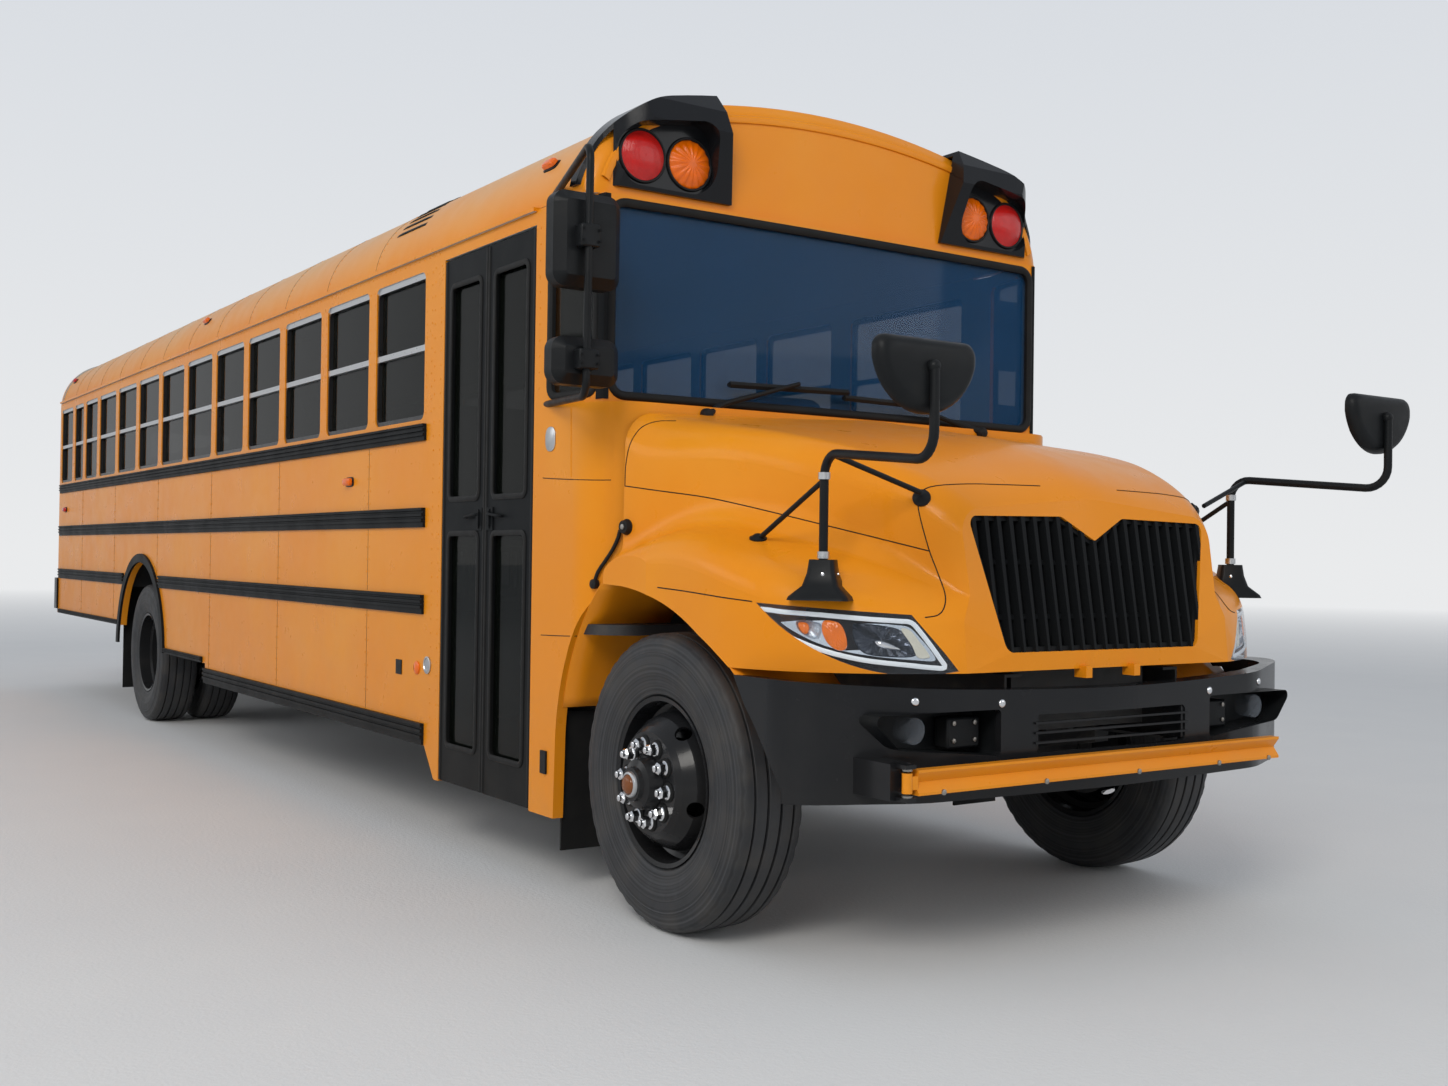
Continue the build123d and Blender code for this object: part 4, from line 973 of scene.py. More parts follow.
def arc(a, b, c, steps):
    """Points on the circle through three points of a plane."""
    (ax, ay), (bx, by), (cx, cy) = a, b, c
    d = 2 * (ax * (by - cy) + bx * (cy - ay) + cx * (ay - by))
    sa, sb, sc = ax * ax + ay * ay, bx * bx + by * by, cx * cx + cy * cy
    ux = (sa * (by - cy) + sb * (cy - ay) + sc * (ay - by)) / d
    uy = (sa * (cx - bx) + sb * (ax - cx) + sc * (bx - ax)) / d
    radius = math.dist(a, (ux, uy))
    first, last = math.atan2(ay - uy, ax - ux), math.atan2(cy - uy, cx - ux)
    while last > first:
        last -= math.tau
    return [(ux + radius * math.cos(first + (last - first) * k / steps),
             uy + radius * math.sin(first + (last - first) * k / steps)) for k in range(steps + 1)]


# The arch over the front wheel, as (Y, Z)
ARCH = (
    arc((-0.760, 0.600), (-0.471, 0.940), (-0.288, 1.051), 12)[4:-1]
    + arc((-0.288, 1.051), (-0.033, 1.159), (0.206, 1.202), 12)
    + arc((0.388, 1.209), (0.574, 0.988), (0.690, 0.560), 18)[0:15]
)


def liner(low, high, body, name, drop=0.006):
    """A thin skin just outside the arch's line, from the fender to over the tyre."""
    mesh = bmesh.new()
    line = [p for p in ARCH if low <= p[0] <= high]
    for side in (1, -1):
        rows = []
        for y, z in line:
            start = at(0, y, z) + Vector((0, y, z - WHEEL_R)).normalized() * drop
            rows.append([start + Vector((side * x, 0, 0)) for x in (0.800, 0.95, 1.10, 1.196)])
        add_grid(mesh, rows)
    thicken(piece(name, mesh, yellow, body, "yellow_paint", smooth=50), 0.003)


liner(-0.62, 0.335, "hood", "wheelhouse_liner_front")
liner(0.350, 0.70, "bus_body", "wheelhouse_liner_rear", drop=-0.004)

mesh = bmesh.new()
half = [(1.206, 1.213), (1.206, 1.253), (1.123, 1.321), (1.117, 1.833), (0.0, 1.866)]
whole = half + [(-x, z) for x, z in half[-2::-1]]
bends = [0.036, 0.056, 0.126, 0.9, 0.126, 0.056, 0.036]
seal_line = bent_path([at(x, 0.344, z) for x, z in whole], bends, 8)
add_tube(mesh, seal_line, 0.0054, sides=8)
piece("hood_gap_seal", mesh, rubber, "bus_body", "black_plastic", smooth=60)

# Doors: rubber round each pane and along both edges of each leaf, and the pulls

PANE_RUBBER = [
    (-0.012, -0.003), (-0.012, 0.004), (-0.006, 0.0065), (0.006, 0.0065), (0.012, 0.003), (0.012, -0.003),
]
EDGE_RUBBER = [(-1.2150, -0.009), (-1.2195, -0.007), (-1.2205, 0.0), (-1.2195, 0.007), (-1.2150, 0.009)]
for word, start in (("front", 0.915), ("rear", 1.3575)):
    mesh = bmesh.new()
    for low, high in ((0.460, 1.400), (1.550, 2.500)):
        loop = rounded_loop(start + 0.062, start + 0.3705, low, high, 0.030, 5)
        add_rim(mesh, loop, PANE_RUBBER, lambda u, v, h: at(-1.2155 - h, u, v))
    for y in (start + 0.006, start + 0.4265):
        rows = [[at(x, y + shift, z) for x, shift in EDGE_RUBBER] for z in (0.300, 0.9, 1.5, 2.1, 2.617)]
        add_grid(mesh, rows, close_ends=True)
    piece("door_rubber_" + word, mesh, rubber, "door_" + word, "black_plastic", smooth=50)


def pull_handle(y, toward, body, name):
    """A bracket with a bow handle on the door's middle rail."""
    mesh = bmesh.new()
    add_box(mesh, at(-1.2215, y - 0.030, 1.412), at(-1.2150, y + 0.030, 1.508))
    add_box(mesh, at(-1.2300, y - 0.010, 1.430), at(-1.2215, y + 0.010, 1.490))
    bow = smooth_path([
        at(-1.2215, y, 1.480), at(-1.2330, y + toward * 0.010, 1.480), at(-1.2350, y + toward * 0.060, 1.475),
        at(-1.2330, y + toward * 0.115, 1.470), at(-1.2190, y + toward * 0.120, 1.470),
    ], 5)
    add_tube(mesh, bow, 0.0065, sides=10)
    for z in (1.424, 1.496):
        add_lathe(mesh, at(-1.2215, y, z), (-1, 0, 0), [(0, 0.006), (0.004, 0.006), (0.005, 0.0)], 6)
    piece(name, mesh, black_satin, body, "black_rails", bevel=0.0015)


pull_handle(1.300, -1, "door_front", "door_handle_front")
pull_handle(1.405, 1, "door_rear", "door_handle_rear")

mesh = bmesh.new()
section = [
    (-0.014, -0.012), (-0.014, 0.003), (-0.006, 0.007), (0.010, 0.007), (0.016, 0.003), (0.016, -0.004),
]
for side in (-1, 1):
    loop = rounded_loop(0.520, 0.780, 1.930, 2.640, 0.040, 5)
    add_rim(mesh, loop, section, lambda u, v, h: at(side * (1.150 + (u - 0.475) / 0.315 * 0.069 + h), u, v))
piece("corner_window_rubber", mesh, rubber, "bus_body", "black_plastic", smooth=50)

# Black covers on the windshield's side pillars

mesh = bmesh.new()
section = [
    (1.128, front_y(1.128) - 0.003), (1.1500, front_y(1.150) - 0.003), (1.1535, 0.478), (1.1610, 0.512),
    (1.1585, 0.516),
]
for side in (-1, 1):
    add_grid(mesh, [[at(side * x, y, z) for x, y in section] for z in (1.905, 2.15, 2.40, 2.686)])
piece("windshield_pillar_covers", mesh, black_satin, "bus_body", "black_rails", smooth=40)

# The cowl: black lines that paint the shade in its panel gaps, its crease and a plate on each side

COWL_LINES = ([(543, 478), (560, 479), (590, 480), (611, 480)], [(541, 635), (565, 636), (590, 636)])
CREASE = [(571, 408), (571, 440), (571, 477)]
cowl_skin = skin("cowl")
mesh = bmesh.new()
# Thin black tubes along the cowl's panel gaps: painted shade
for pixels in COWL_LINES:
    add_both(mesh, seam_points(cowl_skin, pixels), 0.0018, 6)
piece("cowl_panel_gap_shade", mesh, rubber, "bus_body", "black_plastic")
mesh = bmesh.new()
add_both(mesh, seam_points(cowl_skin, CREASE), 0.0030, 8)
piece("cowl_creases", mesh, yellow, "bus_body", "yellow_paint", smooth=60)
mesh = bmesh.new()
PLATE = (0.758, 1.764)
for side in (1, -1):
    rows = []
    for inset, height in ((0.0, -0.001), (0.0, 0.003), (0.003, 0.005)):
        wide, tall = 0.040 - inset, 0.048 - inset
        loop = rounded_loop(-wide, wide, -tall, tall, 0.034, 6)
        rows.append([at(side * (SIDE_X + 0.0005 + height), PLATE[0] + u, PLATE[1] + v) for (u, v), n in loop])
    add_shell(mesh, rows)
piece("cowl_plates", mesh, silver, "bus_body", "window_aluminium", smooth=40)

# The cap's raised border: where the roof's end lies round the bus, set in and forward

BORDER = ((0.088, 0.503), (0.085, 0.494), (0.070, 0.491), (0.056, 0.494), (0.050, 0.506))
mesh = bmesh.new()
rows = []
for k in range(-30, 31):
    way = Vector((math.sin(math.radians(2.1 * k)), 0, math.cos(math.radians(2.1 * k))))
    found = body_skin.ray_cast(at(0, 0.58, 2.0) + way * 2.2, -way)[0]
    if found is not None and found.z > 2.74:
        length = math.hypot(found.x, found.z - 2.0)
        ux, uz = found.x / length, (found.z - 2.0) / length
        rows.append([at(found.x - ux * a, b, found.z - uz * a) for a, b in BORDER])
add_grid(mesh, rows)
piece("cap_border", mesh, yellow, "bus_body", "yellow_paint", smooth=50)

# Rivets and panel joints along the sides

WINDOW_PITCH = 0.711
# The posts between the side windows along the bus
POSTS = [1.969]
for pitch in [WINDOW_PITCH] * 10 + [0.581, 0.475, 0.615]:
    POSTS.append(POSTS[-1] + pitch)
# Heights of the panels between the rub rails
PANELS = ((0.534, 1.026), (1.123, 1.426), (1.524, 1.826))


def spaced(low, high, step):
    """Numbers from low to below high, a step apart."""
    while low < high:
        yield low
        low += step


spots = []
joints = bmesh.new()
for side in (-1, 1):
    out = (side, 0, 0)
    for post in POSTS:
        for i in range(12):
            for shift in (-0.030, 0.030):
                if post + shift < 10.735:
                    spots.append((at(side * SIDE_X, post + shift, 1.96 + i * 0.058), out))
    for y in spaced(1.86 if side < 0 else 0.95, 10.72, 0.059):
        spots.append((at(side * SIDE_X, y, 2.668), out))
    for z in spaced(0.50, 2.62, 0.064):
        for y in ((0.868, 1.835, 1.905) if side < 0 else (0.925,)):
            # Above the door's front edge only, and the whole way up elsewhere
            if y > 0.9 or z > 1.95:
                spots.append((at(side * SIDE_X, y, z), out))
    for post in POSTS[1:13:2]:
        y = post + 0.02
        for low, high in PANELS:
            # The rear wheel's arch cuts the lowest panel
            if low < 0.6 and 6.6 < y < 8.3:
                continue
            low = max(low, 0.745) if y > 8.1 else low
            add_box(joints, at(side * 1.2185, y - 0.0012, low), at(side * 1.2197, y + 0.0012, high))
            for z in spaced(low + 0.03, high, 0.062):
                for shift in (-0.018, 0.018):
                    spots.append((at(side * SIDE_X, y + shift, z), out))
mesh = bmesh.new()
add_rivets(mesh, spots)
piece("side_rivets", mesh, yellow, "bus_body", "yellow_paint")
piece("side_panel_joints", joints, rubber, "bus_body", "black_plastic")


def roof_spot(y, angle):
    """A point of the roof, and its outward direction, at an angle from the middle line."""
    way = Vector((math.sin(angle), 0, math.cos(angle)))
    return body_skin.ray_cast(at(0, y, 2.0) + way * 2.2, -way)[:2]


spots = []
seams = bmesh.new()
for post in POSTS[1:-1]:
    line = []
    for i in range(-40, 41):
        spot, normal = roof_spot(post, i / 40 * 1.03)
        if spot is None or spot.z > 3.19:
            continue
        spots.append((spot, normal))
        line.append(spot + normal * 0.0002 + Vector((0, 0.021, 0)))
    add_tube(seams, line, 0.0011, sides=5)
mesh = bmesh.new()
add_rivets(mesh, spots, radius=0.0055)
piece("roof_rivets", mesh, yellow, "bus_body", "yellow_paint")
piece("roof_panel_joints", seams, rubber, "bus_body", "black_plastic")

# Roof: the louvred vent over the door side and the clearance lamps

mesh = bmesh.new()
for k in range(6):
    angle = -0.735 - 0.035 * k
    rows = []
    for i in range(13):
        spot, normal = roof_spot(2.22 + 0.36 * i / 12, angle)
        down = normal.cross(Vector((0, 1, 0))).normalized()
        if down.z > 0:
            down = -down
        end = min(i, 12 - i) / 2.0
        lift = 0.006 * min(1.0, end + 0.15)
        section = (
            (-0.014, -0.001), (-0.007, lift * 0.7), (0.004, lift), (0.008, lift * 0.8), (0.008, -0.001),
        )
        rows.append([spot + down * along + normal * height for along, height in section])
    add_grid(mesh, rows, close_ends=True)
piece("roof_vent_louvres", mesh, black_satin, "bus_body", "black_rails", smooth=50)


def clearance_lamp(bases, lenses, spot, normal):
    """A squared lamp on its base, whose length lies along the bus."""
    normal = Vector(normal).normalized()
    along = Vector((0, 1, 0))
    along = (along - normal * along.dot(normal)).normalized()
    across = normal.cross(along)
    for target, length, width, low, high in (
        (bases, 0.060, 0.026, -0.004, 0.008), (lenses, 0.050, 0.020, 0.008, 0.030),
    ):
        rows = []
        for share, scale in ((0.0, 1.0), (0.6, 0.96), (0.92, 0.74), (1.0, 0.4)):
            height = high * share + low * (1 - share)
            ring = []
            for i in range(28):
                a = math.tau * i / 28
                u = math.copysign(abs(math.cos(a)) ** 0.5, math.cos(a)) * length * scale
                v = math.copysign(abs(math.sin(a)) ** 0.5, math.sin(a)) * width * scale
                ring.append(spot + along * u + across * v + normal * height)
            rows.append(ring)
        add_shell(target, rows, first=True)


bases, ambers, reds = bmesh.new(), bmesh.new(), bmesh.new()
for side in (-1, 1):
    for y, target in ((0.95, ambers), (6.02, ambers), (10.55, reds)):
        spot, normal = roof_spot(y, side * 0.905)
        clearance_lamp(bases, target, spot, normal)
    clearance_lamp(bases, ambers, at(side * SIDE_X, 2.97, 1.672), (side, 0, 0))
    clearance_lamp(bases, reds, at(side * SIDE_X, 10.45, 1.672), (side, 0, 0))
piece("clearance_lamp_bases", bases, black_plastic, "bus_body", "black_plastic")
piece("clearance_lamps_amber", ambers, amber_lens, "bus_body", "amber_lens")
piece("clearance_lamps_red", reds, red_lens, "bus_body", "red_lens")

# Warning lamps: lenses with moulded flutes in black rings


def add_lens(mesh, centre, facing, radius, depth, flutes, lip):
    """A domed lens: flutes is the number of ridges that run out from its middle."""
    rows = []
    rings = 12
    around = 96
    for i in range(rings + 1):
        r = radius * i / rings + 1e-6
        ring = []
        for k in range(around):
            angle = math.tau * k / around
            rise = depth * (1 - (i / rings) ** 2.4)
            if flutes and i > 2:
                rise += 0.0022 * math.cos(angle * flutes) * min(1.0, i / 6)
            elif not flutes:
                rise += 0.0010 * math.cos(i * math.pi)
            ring.append(centre + Vector((r * math.cos(angle), facing * (rise + lip), r * math.sin(angle))))
        rows.append(ring)
    rows.append([p - Vector((0, facing * (lip + 0.0005), 0)) for p in rows[-1]])
    add_shell(mesh, rows, first=True)


FRONT_LAMPS = 0.494
# Columns: X, Y, Z, radius, depth, flutes, facing
RED = [
    (0.980, FRONT_LAMPS, 2.857, 0.098, 0.026, 0, -1), (0.980, REAR_FACE, 2.760, 0.098, 0.026, 0, 1),
    (0.820, REAR_FACE, 1.350, 0.086, 0.020, 0, 1), (0.090, REAR_FACE, 2.960, 0.019, 0.014, 0, 1),
    (0.300, REAR_FACE, 2.950, 0.019, 0.014, 0, 1),
]
AMBER = [
    (0.765, FRONT_LAMPS, 2.857, 0.098, 0.026, 16, -1), (0.765, REAR_FACE, 2.760, 0.098, 0.026, 16, 1),
    (1.020, REAR_FACE, 1.350, 0.086, 0.020, 0, 1),
]
LAMP_RING = ((0, 0.96), (0.006, 0.97), (0.009, 1.0), (0.009, 1.05), (0.004, 1.09), (0, 1.09))
rings = bmesh.new()
for rows, finish, node, slot in (
    (RED, red_lens, "red_lamps", "red_lens"), (AMBER, amber_lens, "amber_lamps", "amber_lens"),
):
    mesh = bmesh.new()
    for x, y, z, radius, depth, flutes, facing in rows:
        for side in (-1, 1):
            centre = at(side * x, y, z)
            add_lens(mesh, centre, facing, radius * 0.97, depth, flutes, 0.004)
            profile = [(along, radius * scale) for along, scale in LAMP_RING]
            add_lathe(rings, centre, (0, facing, 0), profile, 64)
    made = piece("lenses_" + node, mesh, finish, "bus_body", slot, smooth=60)
    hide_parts(node)
piece("lamp_rings", rings, black_plastic, "bus_body", "black_plastic", smooth=40)

# Small fittings low on both sides

REFLECTOR = [(0, 0.0), (0, 0.030), (0.006, 0.030), (0.011, 0.022), (0.013, 0.0)]
ROUND_PLATE = [(0, 0.040), (0.006, 0.040), (0.008, 0.034), (0.003, 0.031), (0.003, 0.0)]
mesh, shiny, amber = (bmesh.new() for _ in range(3))
for side in (-1, 1):
    out = (side, 0, 0)
    add_lathe(amber, at(side * SIDE_X, 2.05, 0.78), out, REFLECTOR, 32)
    add_box(mesh, at(side * SIDE_X, 2.235, 0.735), at(side * 1.2235, 2.305, 0.805))
    add_lathe(shiny, at(side * SIDE_X, 1.93, 0.80), out, ROUND_PLATE, 36)
add_box(mesh, at(-1.2275, 0.752, 0.455), at(-1.2170, 0.800, 0.545))
piece("side_covers", mesh, black_plastic, "bus_body", "black_plastic", bevel=0.003)
piece("side_round_plates", shiny, silver, "bus_body", "window_aluminium")
# The reflectors wear the amber lamp plastic. Its small glow is painted light here, since a reflector has no
# lamp
piece("side_reflectors", amber, amber_lens, "bus_body", "amber_lens")

# Wipers

RIGHT_FOOT, LEFT_FOOT = (705.6, 415), (980.6, 433)
BLADE = ((0.013, -0.005), (0.034, -0.013), (0.042, 0.0), (0.034, 0.013), (0.013, 0.005))


def wiper(pixel, tip, blade_low, blade_high, name):
    """An arm from its foot on the ledge to the blade, whose ends are given as (X, Z)."""
    mesh = bmesh.new()
    spot, out = seen_on(ledge_skin, *pixel)
    add_lathe(mesh, spot, out, [(-0.004, 0.026), (0.016, 0.025), (0.026, 0.018), (0.030, 0.0)], 24)
    lift = 0.052
    line = [spot + out * 0.018]
    base = (spot.x, spot.z + 0.018)
    for t in (0.25, 0.6, 0.9, 1.0):
        x, z = (a + (b - a) * t for a, b in zip(base, tip))
        line.append(at(x, front_y(x) - lift, z))
    add_tube(mesh, smooth_path(line, 4), [0.014] * 4 + [0.011] * 4 + [0.009] * 9, sides=8)
    rows = []
    for i in range(9):
        x, z = (a + (b - a) * i / 8 for a, b in zip(blade_low, blade_high))
        rows.append([at(x, front_y(x) - depth, z + rise) for depth, rise in BLADE])
    add_shell(mesh, rows, first=True)
    piece(name, mesh, rubber, "bus_body", "black_plastic", smooth=40)


ledge_skin = skin("cowl", "hood")
wiper(RIGHT_FOOT, (-0.272, 2.022), (-0.600, 1.996), (0.002, 2.007), "wiper_right")
wiper(LEFT_FOOT, (0.250, 1.995), (-0.019, 1.984), (0.520, 1.978), "wiper_left")

# Seats: each bench has a crowned cushion and a high padded back with a sewn edge


# How square a pad's corners are
PAD_CORNERS = 7.0
SEAT_X = 0.665
DRIVER_X = 0.600


def add_pad(mesh, centre, half, crown, thick, seed):
    """A stuffed block with rounded corners. Its broad faces are crowned along the axis thick."""
    grid, pull, power = 9, 0.02, PAD_CORNERS
    wobble = random.Random(seed)
    lumps = [[wobble.uniform(-1, 1) for _ in range(3)] for _ in range(3)]
    first, second = [a for a in range(3) if a != thick]
    start = len(mesh.verts)
    for axis in range(3):
        for sign in (-1, 1):
            rows = []
            for i in range(grid + 1):
                row = []
                for j in range(grid + 1):
                    p = [0.0, 0.0, 0.0]
                    p[axis] = sign
                    p[(axis + 1) % 3] = math.sin((2 * i / grid - 1) * math.pi / 2)
                    p[(axis + 2) % 3] = math.sin((2 * j / grid - 1) * math.pi / 2)
                    size = sum(abs(v) ** power for v in p) ** (-1 / power)
                    q = [v * size for v in p]
                    swell = (1 - q[first] ** 2) * (1 - q[second] ** 2)
                    out = [q[k] * half[k] for k in range(3)]
                    out[thick] += math.copysign(1, q[thick]) * crown * swell * min(1.0, abs(q[thick]) * 1.4)
                    out[first] *= 1 - pull * (1 - q[second] ** 2)
                    out[second] *= 1 - pull * (1 - q[first] ** 2)
                    for lump in lumps:
                        wave = 3 * lump[0] + 7 * out[first] + 5 * lump[1] * out[second]
                        out[thick] += 0.0016 * math.sin(wave)
                    row.append(Vector(centre) + Vector(out))
                rows.append(row)
            add_grid(mesh, rows)
    mesh.verts.ensure_lookup_table()
    bmesh.ops.remove_doubles(mesh, verts=mesh.verts[start:], dist=0.0004)


def add_piping(mesh, centre, half, thick):
    """A sewn cord round a pad's edge."""
    power = PAD_CORNERS
    first, second = [a for a in range(3) if a != thick]
    points = []
    for i in range(72):
        angle = math.tau * i / 72
        c, s = math.cos(angle), math.sin(angle)
        size = (abs(c) ** power + abs(s) ** power) ** (-1 / power)
        out = [0.0, 0.0, 0.0]
        out[first] = c * size * half[first] * 0.985
        out[second] = s * size * half[second] * 0.985
        out[thick] = half[thick] * 0.80
        points.append(Vector(centre) + Vector(out))
    add_tube(mesh, points, 0.005, sides=6, closed=True)


backs, cushions = bmesh.new(), bmesh.new()
cords = bmesh.new()
for i in range(12):
    y = 2.330 + WINDOW_PITCH * i
    for side in (-1, 1):
        middle = at(side * SEAT_X, y + 0.250, 1.740)
        add_pad(backs, middle, (0.472, 0.030, 0.333), 0.009, 1, i * 2 + side)
        add_pad(cushions, at(side * SEAT_X, y, 1.434), (0.474, 0.196, 0.046), 0.008, 2, 40 + i * 2 + side)
        add_piping(cords, middle, (0.472, 0.034, 0.333), 1)
seat_backs = piece("seat_backs", backs, vinyl, "bus_body", "seat_vinyl", smooth=60)
seat_cushions = piece("seat_cushions", cushions, vinyl, "bus_body", "seat_vinyl", smooth=60)
piece("seat_piping", cords, rubber, "bus_body", "seat_vinyl", smooth=60)
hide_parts("seats")

driver = bmesh.new()
driver_back = at(DRIVER_X, 1.677, 1.805)
add_pad(driver, at(DRIVER_X, 1.390, 1.456), (0.246, 0.236, 0.052), 0.010, 2, 91)
add_pad(driver, driver_back, (0.236, 0.038, 0.335), 0.010, 1, 92)
add_piping(driver, driver_back, (0.236, 0.040, 0.335), 1)
driver_pads = piece("driver_seat_pads", driver, vinyl, "bus_body", "seat_vinyl", smooth=60)
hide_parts("driver_seat")
mesh = bmesh.new()
rows = []
for z, half in (
    (1.050, 0.165), (1.090, 0.160), (1.110, 0.120), (1.330, 0.115), (1.350, 0.160), (1.398, 0.165),
):
    loop = rounded_loop(-half, half, -half, half, 0.03, 4)
    rows.append([at(DRIVER_X + u, 1.395 + v, z) for (u, v), n in loop])
add_shell(mesh, rows, first=True)
piece("driver_seat_pedestal", mesh, black_satin, "bus_body", "chassis_black", smooth=40)

# Mirrors: glass on the faces that the driver sees, and the bolts of their clamps

mesh, bolts, blocks = (bmesh.new() for _ in range(3))
MIRROR_X, CLAMP_X = 1.365, 1.392
# The left mirror stands further back than the right one
for side, shift in ((-1, 0.0), (1, 0.640)):
    middle, clamp, face_y = side * MIRROR_X, side * CLAMP_X, 0.282 + shift
    for low, high in ((2.262, 2.602), (1.915, 2.085)):
        loop = rounded_loop(middle - 0.123, middle + 0.123, low + 0.012, high - 0.012, 0.038, 6)
        centre = mesh.verts.new(at(middle, face_y + 0.003, (low + high) / 2))
        ring = [mesh.verts.new(at(u, face_y + 0.0015, v)) for (u, v), n in loop]
        for a, b in zip(ring, ring[1:] + ring[:1]):
            mesh.faces.new((a, b, centre))
    for z in (2.415, 2.455, 1.985, 2.015):
        for offset in (-0.0336, 0.0336):
            spot = at(clamp + offset, 0.141 + shift, z)
            add_lathe(bolts, spot, (0, -1, 0), [(0, 0.006), (0.005, 0.006), (0.006, 0.0)], 6)
    for low, high in ((2.395, 2.475), (1.965, 2.035)):
        add_box(blocks, at(clamp - 0.038, 0.146 + shift, low), at(clamp + 0.038, 0.198 + shift, high))
piece("side_mirror_clamps", blocks, black_plastic, "bus_body", "black_plastic", bevel=0.006)
mirror_glass = metal("mirror_glass", (0.86, 0.88, 0.9), 0.02)
piece("side_mirror_glass", mesh, mirror_glass, "bus_body", "window_aluminium", smooth=60)
piece("side_mirror_bolts", bolts, black_satin, "bus_body", "black_plastic")

mesh = bmesh.new()
for side in (-1, 1):
    rows = []
    for scale, rise in ((1.0, 0.0005), (0.75, 0.012), (0.5, 0.021), (0.25, 0.026), (0.02, 0.028)):
        ring = []
        for i in range(48):
            angle = math.tau * i / 48
            u = 0.163 * math.cos(angle)
            v = 0.078 * math.sin(angle) if math.sin(angle) > 0 else 0.094 * math.sin(angle)
            ring.append(at(side * HEAD_X + u * scale, HEAD_BACK + rise, HEAD_Z + v * scale))
        rows.append(ring)
    add_shell(mesh, rows)
piece("cross_view_mirror_glass", mesh, mirror_glass, "hood", "window_aluminium", smooth=60)

# Headlamps: a chrome bezel painted bright with the sky it reflects, with its lamps behind the clear cover,
# drawn in the photograph's points

LAMP_OUT = Vector((-math.sin(math.radians(40)), -math.cos(math.radians(40)), 0))
cover_skin = skin("headlamps", "hood")

LIGHT_BAND = [
    (758, 609), (784, 612), (813, 614.3), (842.7, 617), (872, 619.5), (898, 621.2), (911.6, 623), (921, 633),
    (931, 646), (939.5, 658), (945, 667.7), (931, 667.8), (908.7, 665.5), (886.7, 663.3), (864.7, 660.5),
    (842.7, 656), (820.7, 650), (798.7, 641.3), (781, 632.5), (768, 623), (758.5, 614.5),
]
BEZEL = [
    (773, 612.5), (800, 616), (830, 618.5), (860, 621.5), (893, 625), (909, 627.5), (920, 638), (931, 651),
    (935, 661),
    (915, 660.5), (890, 658.5), (866, 655.5), (842, 651), (818, 643.5), (798, 634), (783, 624.5), (775, 616),
]
SMALL_TURN = [
    (797, 621), (808, 620.5), (820.5, 624), (821.5, 631), (818, 639), (808, 637.5), (799, 631), (796, 625),
]
LARGE_TURN = [
    (823, 621.5), (832, 621), (840.5, 624.5), (846, 636), (846.5, 648.5), (838, 650.8), (828, 644),
    (822, 632),
]
MAIN_LAMP = [
    (855, 623.5), (872, 624.5), (890, 627), (901, 631), (910, 642), (917, 653), (911, 657.5), (890, 657.5),
    (868, 655),
    (858, 648), (853, 636), (852.5, 627),
]
CREAM = [(901, 629.5), (910, 630.5), (919, 641), (930, 656), (926, 658.8), (917.5, 657.5), (912, 646)]
PROJECTOR = [
    (876, 640.5), (884, 641.5), (893, 645), (901, 649.5), (899, 650.8), (888, 650), (878, 646.5),
    (874.5, 643),
]
SMALL_BULB = [(798, 623), (803, 622.3), (808, 624.5), (809, 630), (806, 634.5), (801, 632), (798, 627)]


def closed_path(pixels):
    """A smooth closed line through points of the photograph."""
    count, steps = len(pixels), 4
    out = []
    for i in range(count):
        near = [Vector(pixels[(i + k) % count]) for k in (-1, 0, 1, 2)]
        out += [spline(*near, k / steps) for k in range(steps)]
    return out


def lamp_loop(pixels, depth):
    """A closed line behind the lamp's cover."""
    return [seen_on(cover_skin, *flat)[0] - LAMP_OUT * depth for flat in closed_path(pixels)]


def lamp_cup(mesh, pixels, profile, flip, ripple=0.0):
    """Rings of one outline, each (share of its size, depth behind the cover), closed at the end."""
    base = lamp_loop(pixels, 0.0)
    middle = sum(base, Vector()) / len(base)
    rows = []
    for share, depth in profile:
        row = []
        for k, p in enumerate(base):
            wave = ripple * math.cos(k * math.pi) if 0.2 < share < 0.95 else 0.0
            row.append(middle + (p - middle) * share - LAMP_OUT * (depth + wave))
        rows.append(mirrored(row, flip))
    add_shell(mesh, rows)


def bezel_plate(mesh, flip):
    """The plate round the lamps: its outline with three openings, filled between them."""
    edges = []
    for pixels in (BEZEL, SMALL_TURN, LARGE_TURN, MAIN_LAMP):
        ring = [mesh.verts.new(p) for p in mirrored(lamp_loop(pixels, 0.012), flip)]
        edges += [mesh.edges.new((a, b)) for a, b in zip(ring, ring[1:] + ring[:1])]
    bmesh.ops.triangle_fill(mesh, use_beauty=True, edges=edges)


def ribbon(mesh, points, width, flip):
    """A flat band along a closed line, a little domed."""
    rows = []
    count = len(points)
    for i, point in enumerate(points):
        across = (points[(i + 1) % count] - points[i - 1]).normalized().cross(LAMP_OUT).normalized() * width
        edge = LAMP_OUT * 0.004
        rows.append(mirrored([
            point - across - edge, point - across, point + LAMP_OUT * 0.003, point + across,
            point + across - edge,
        ], flip))
    add_grid(mesh, rows, close_rows=True)


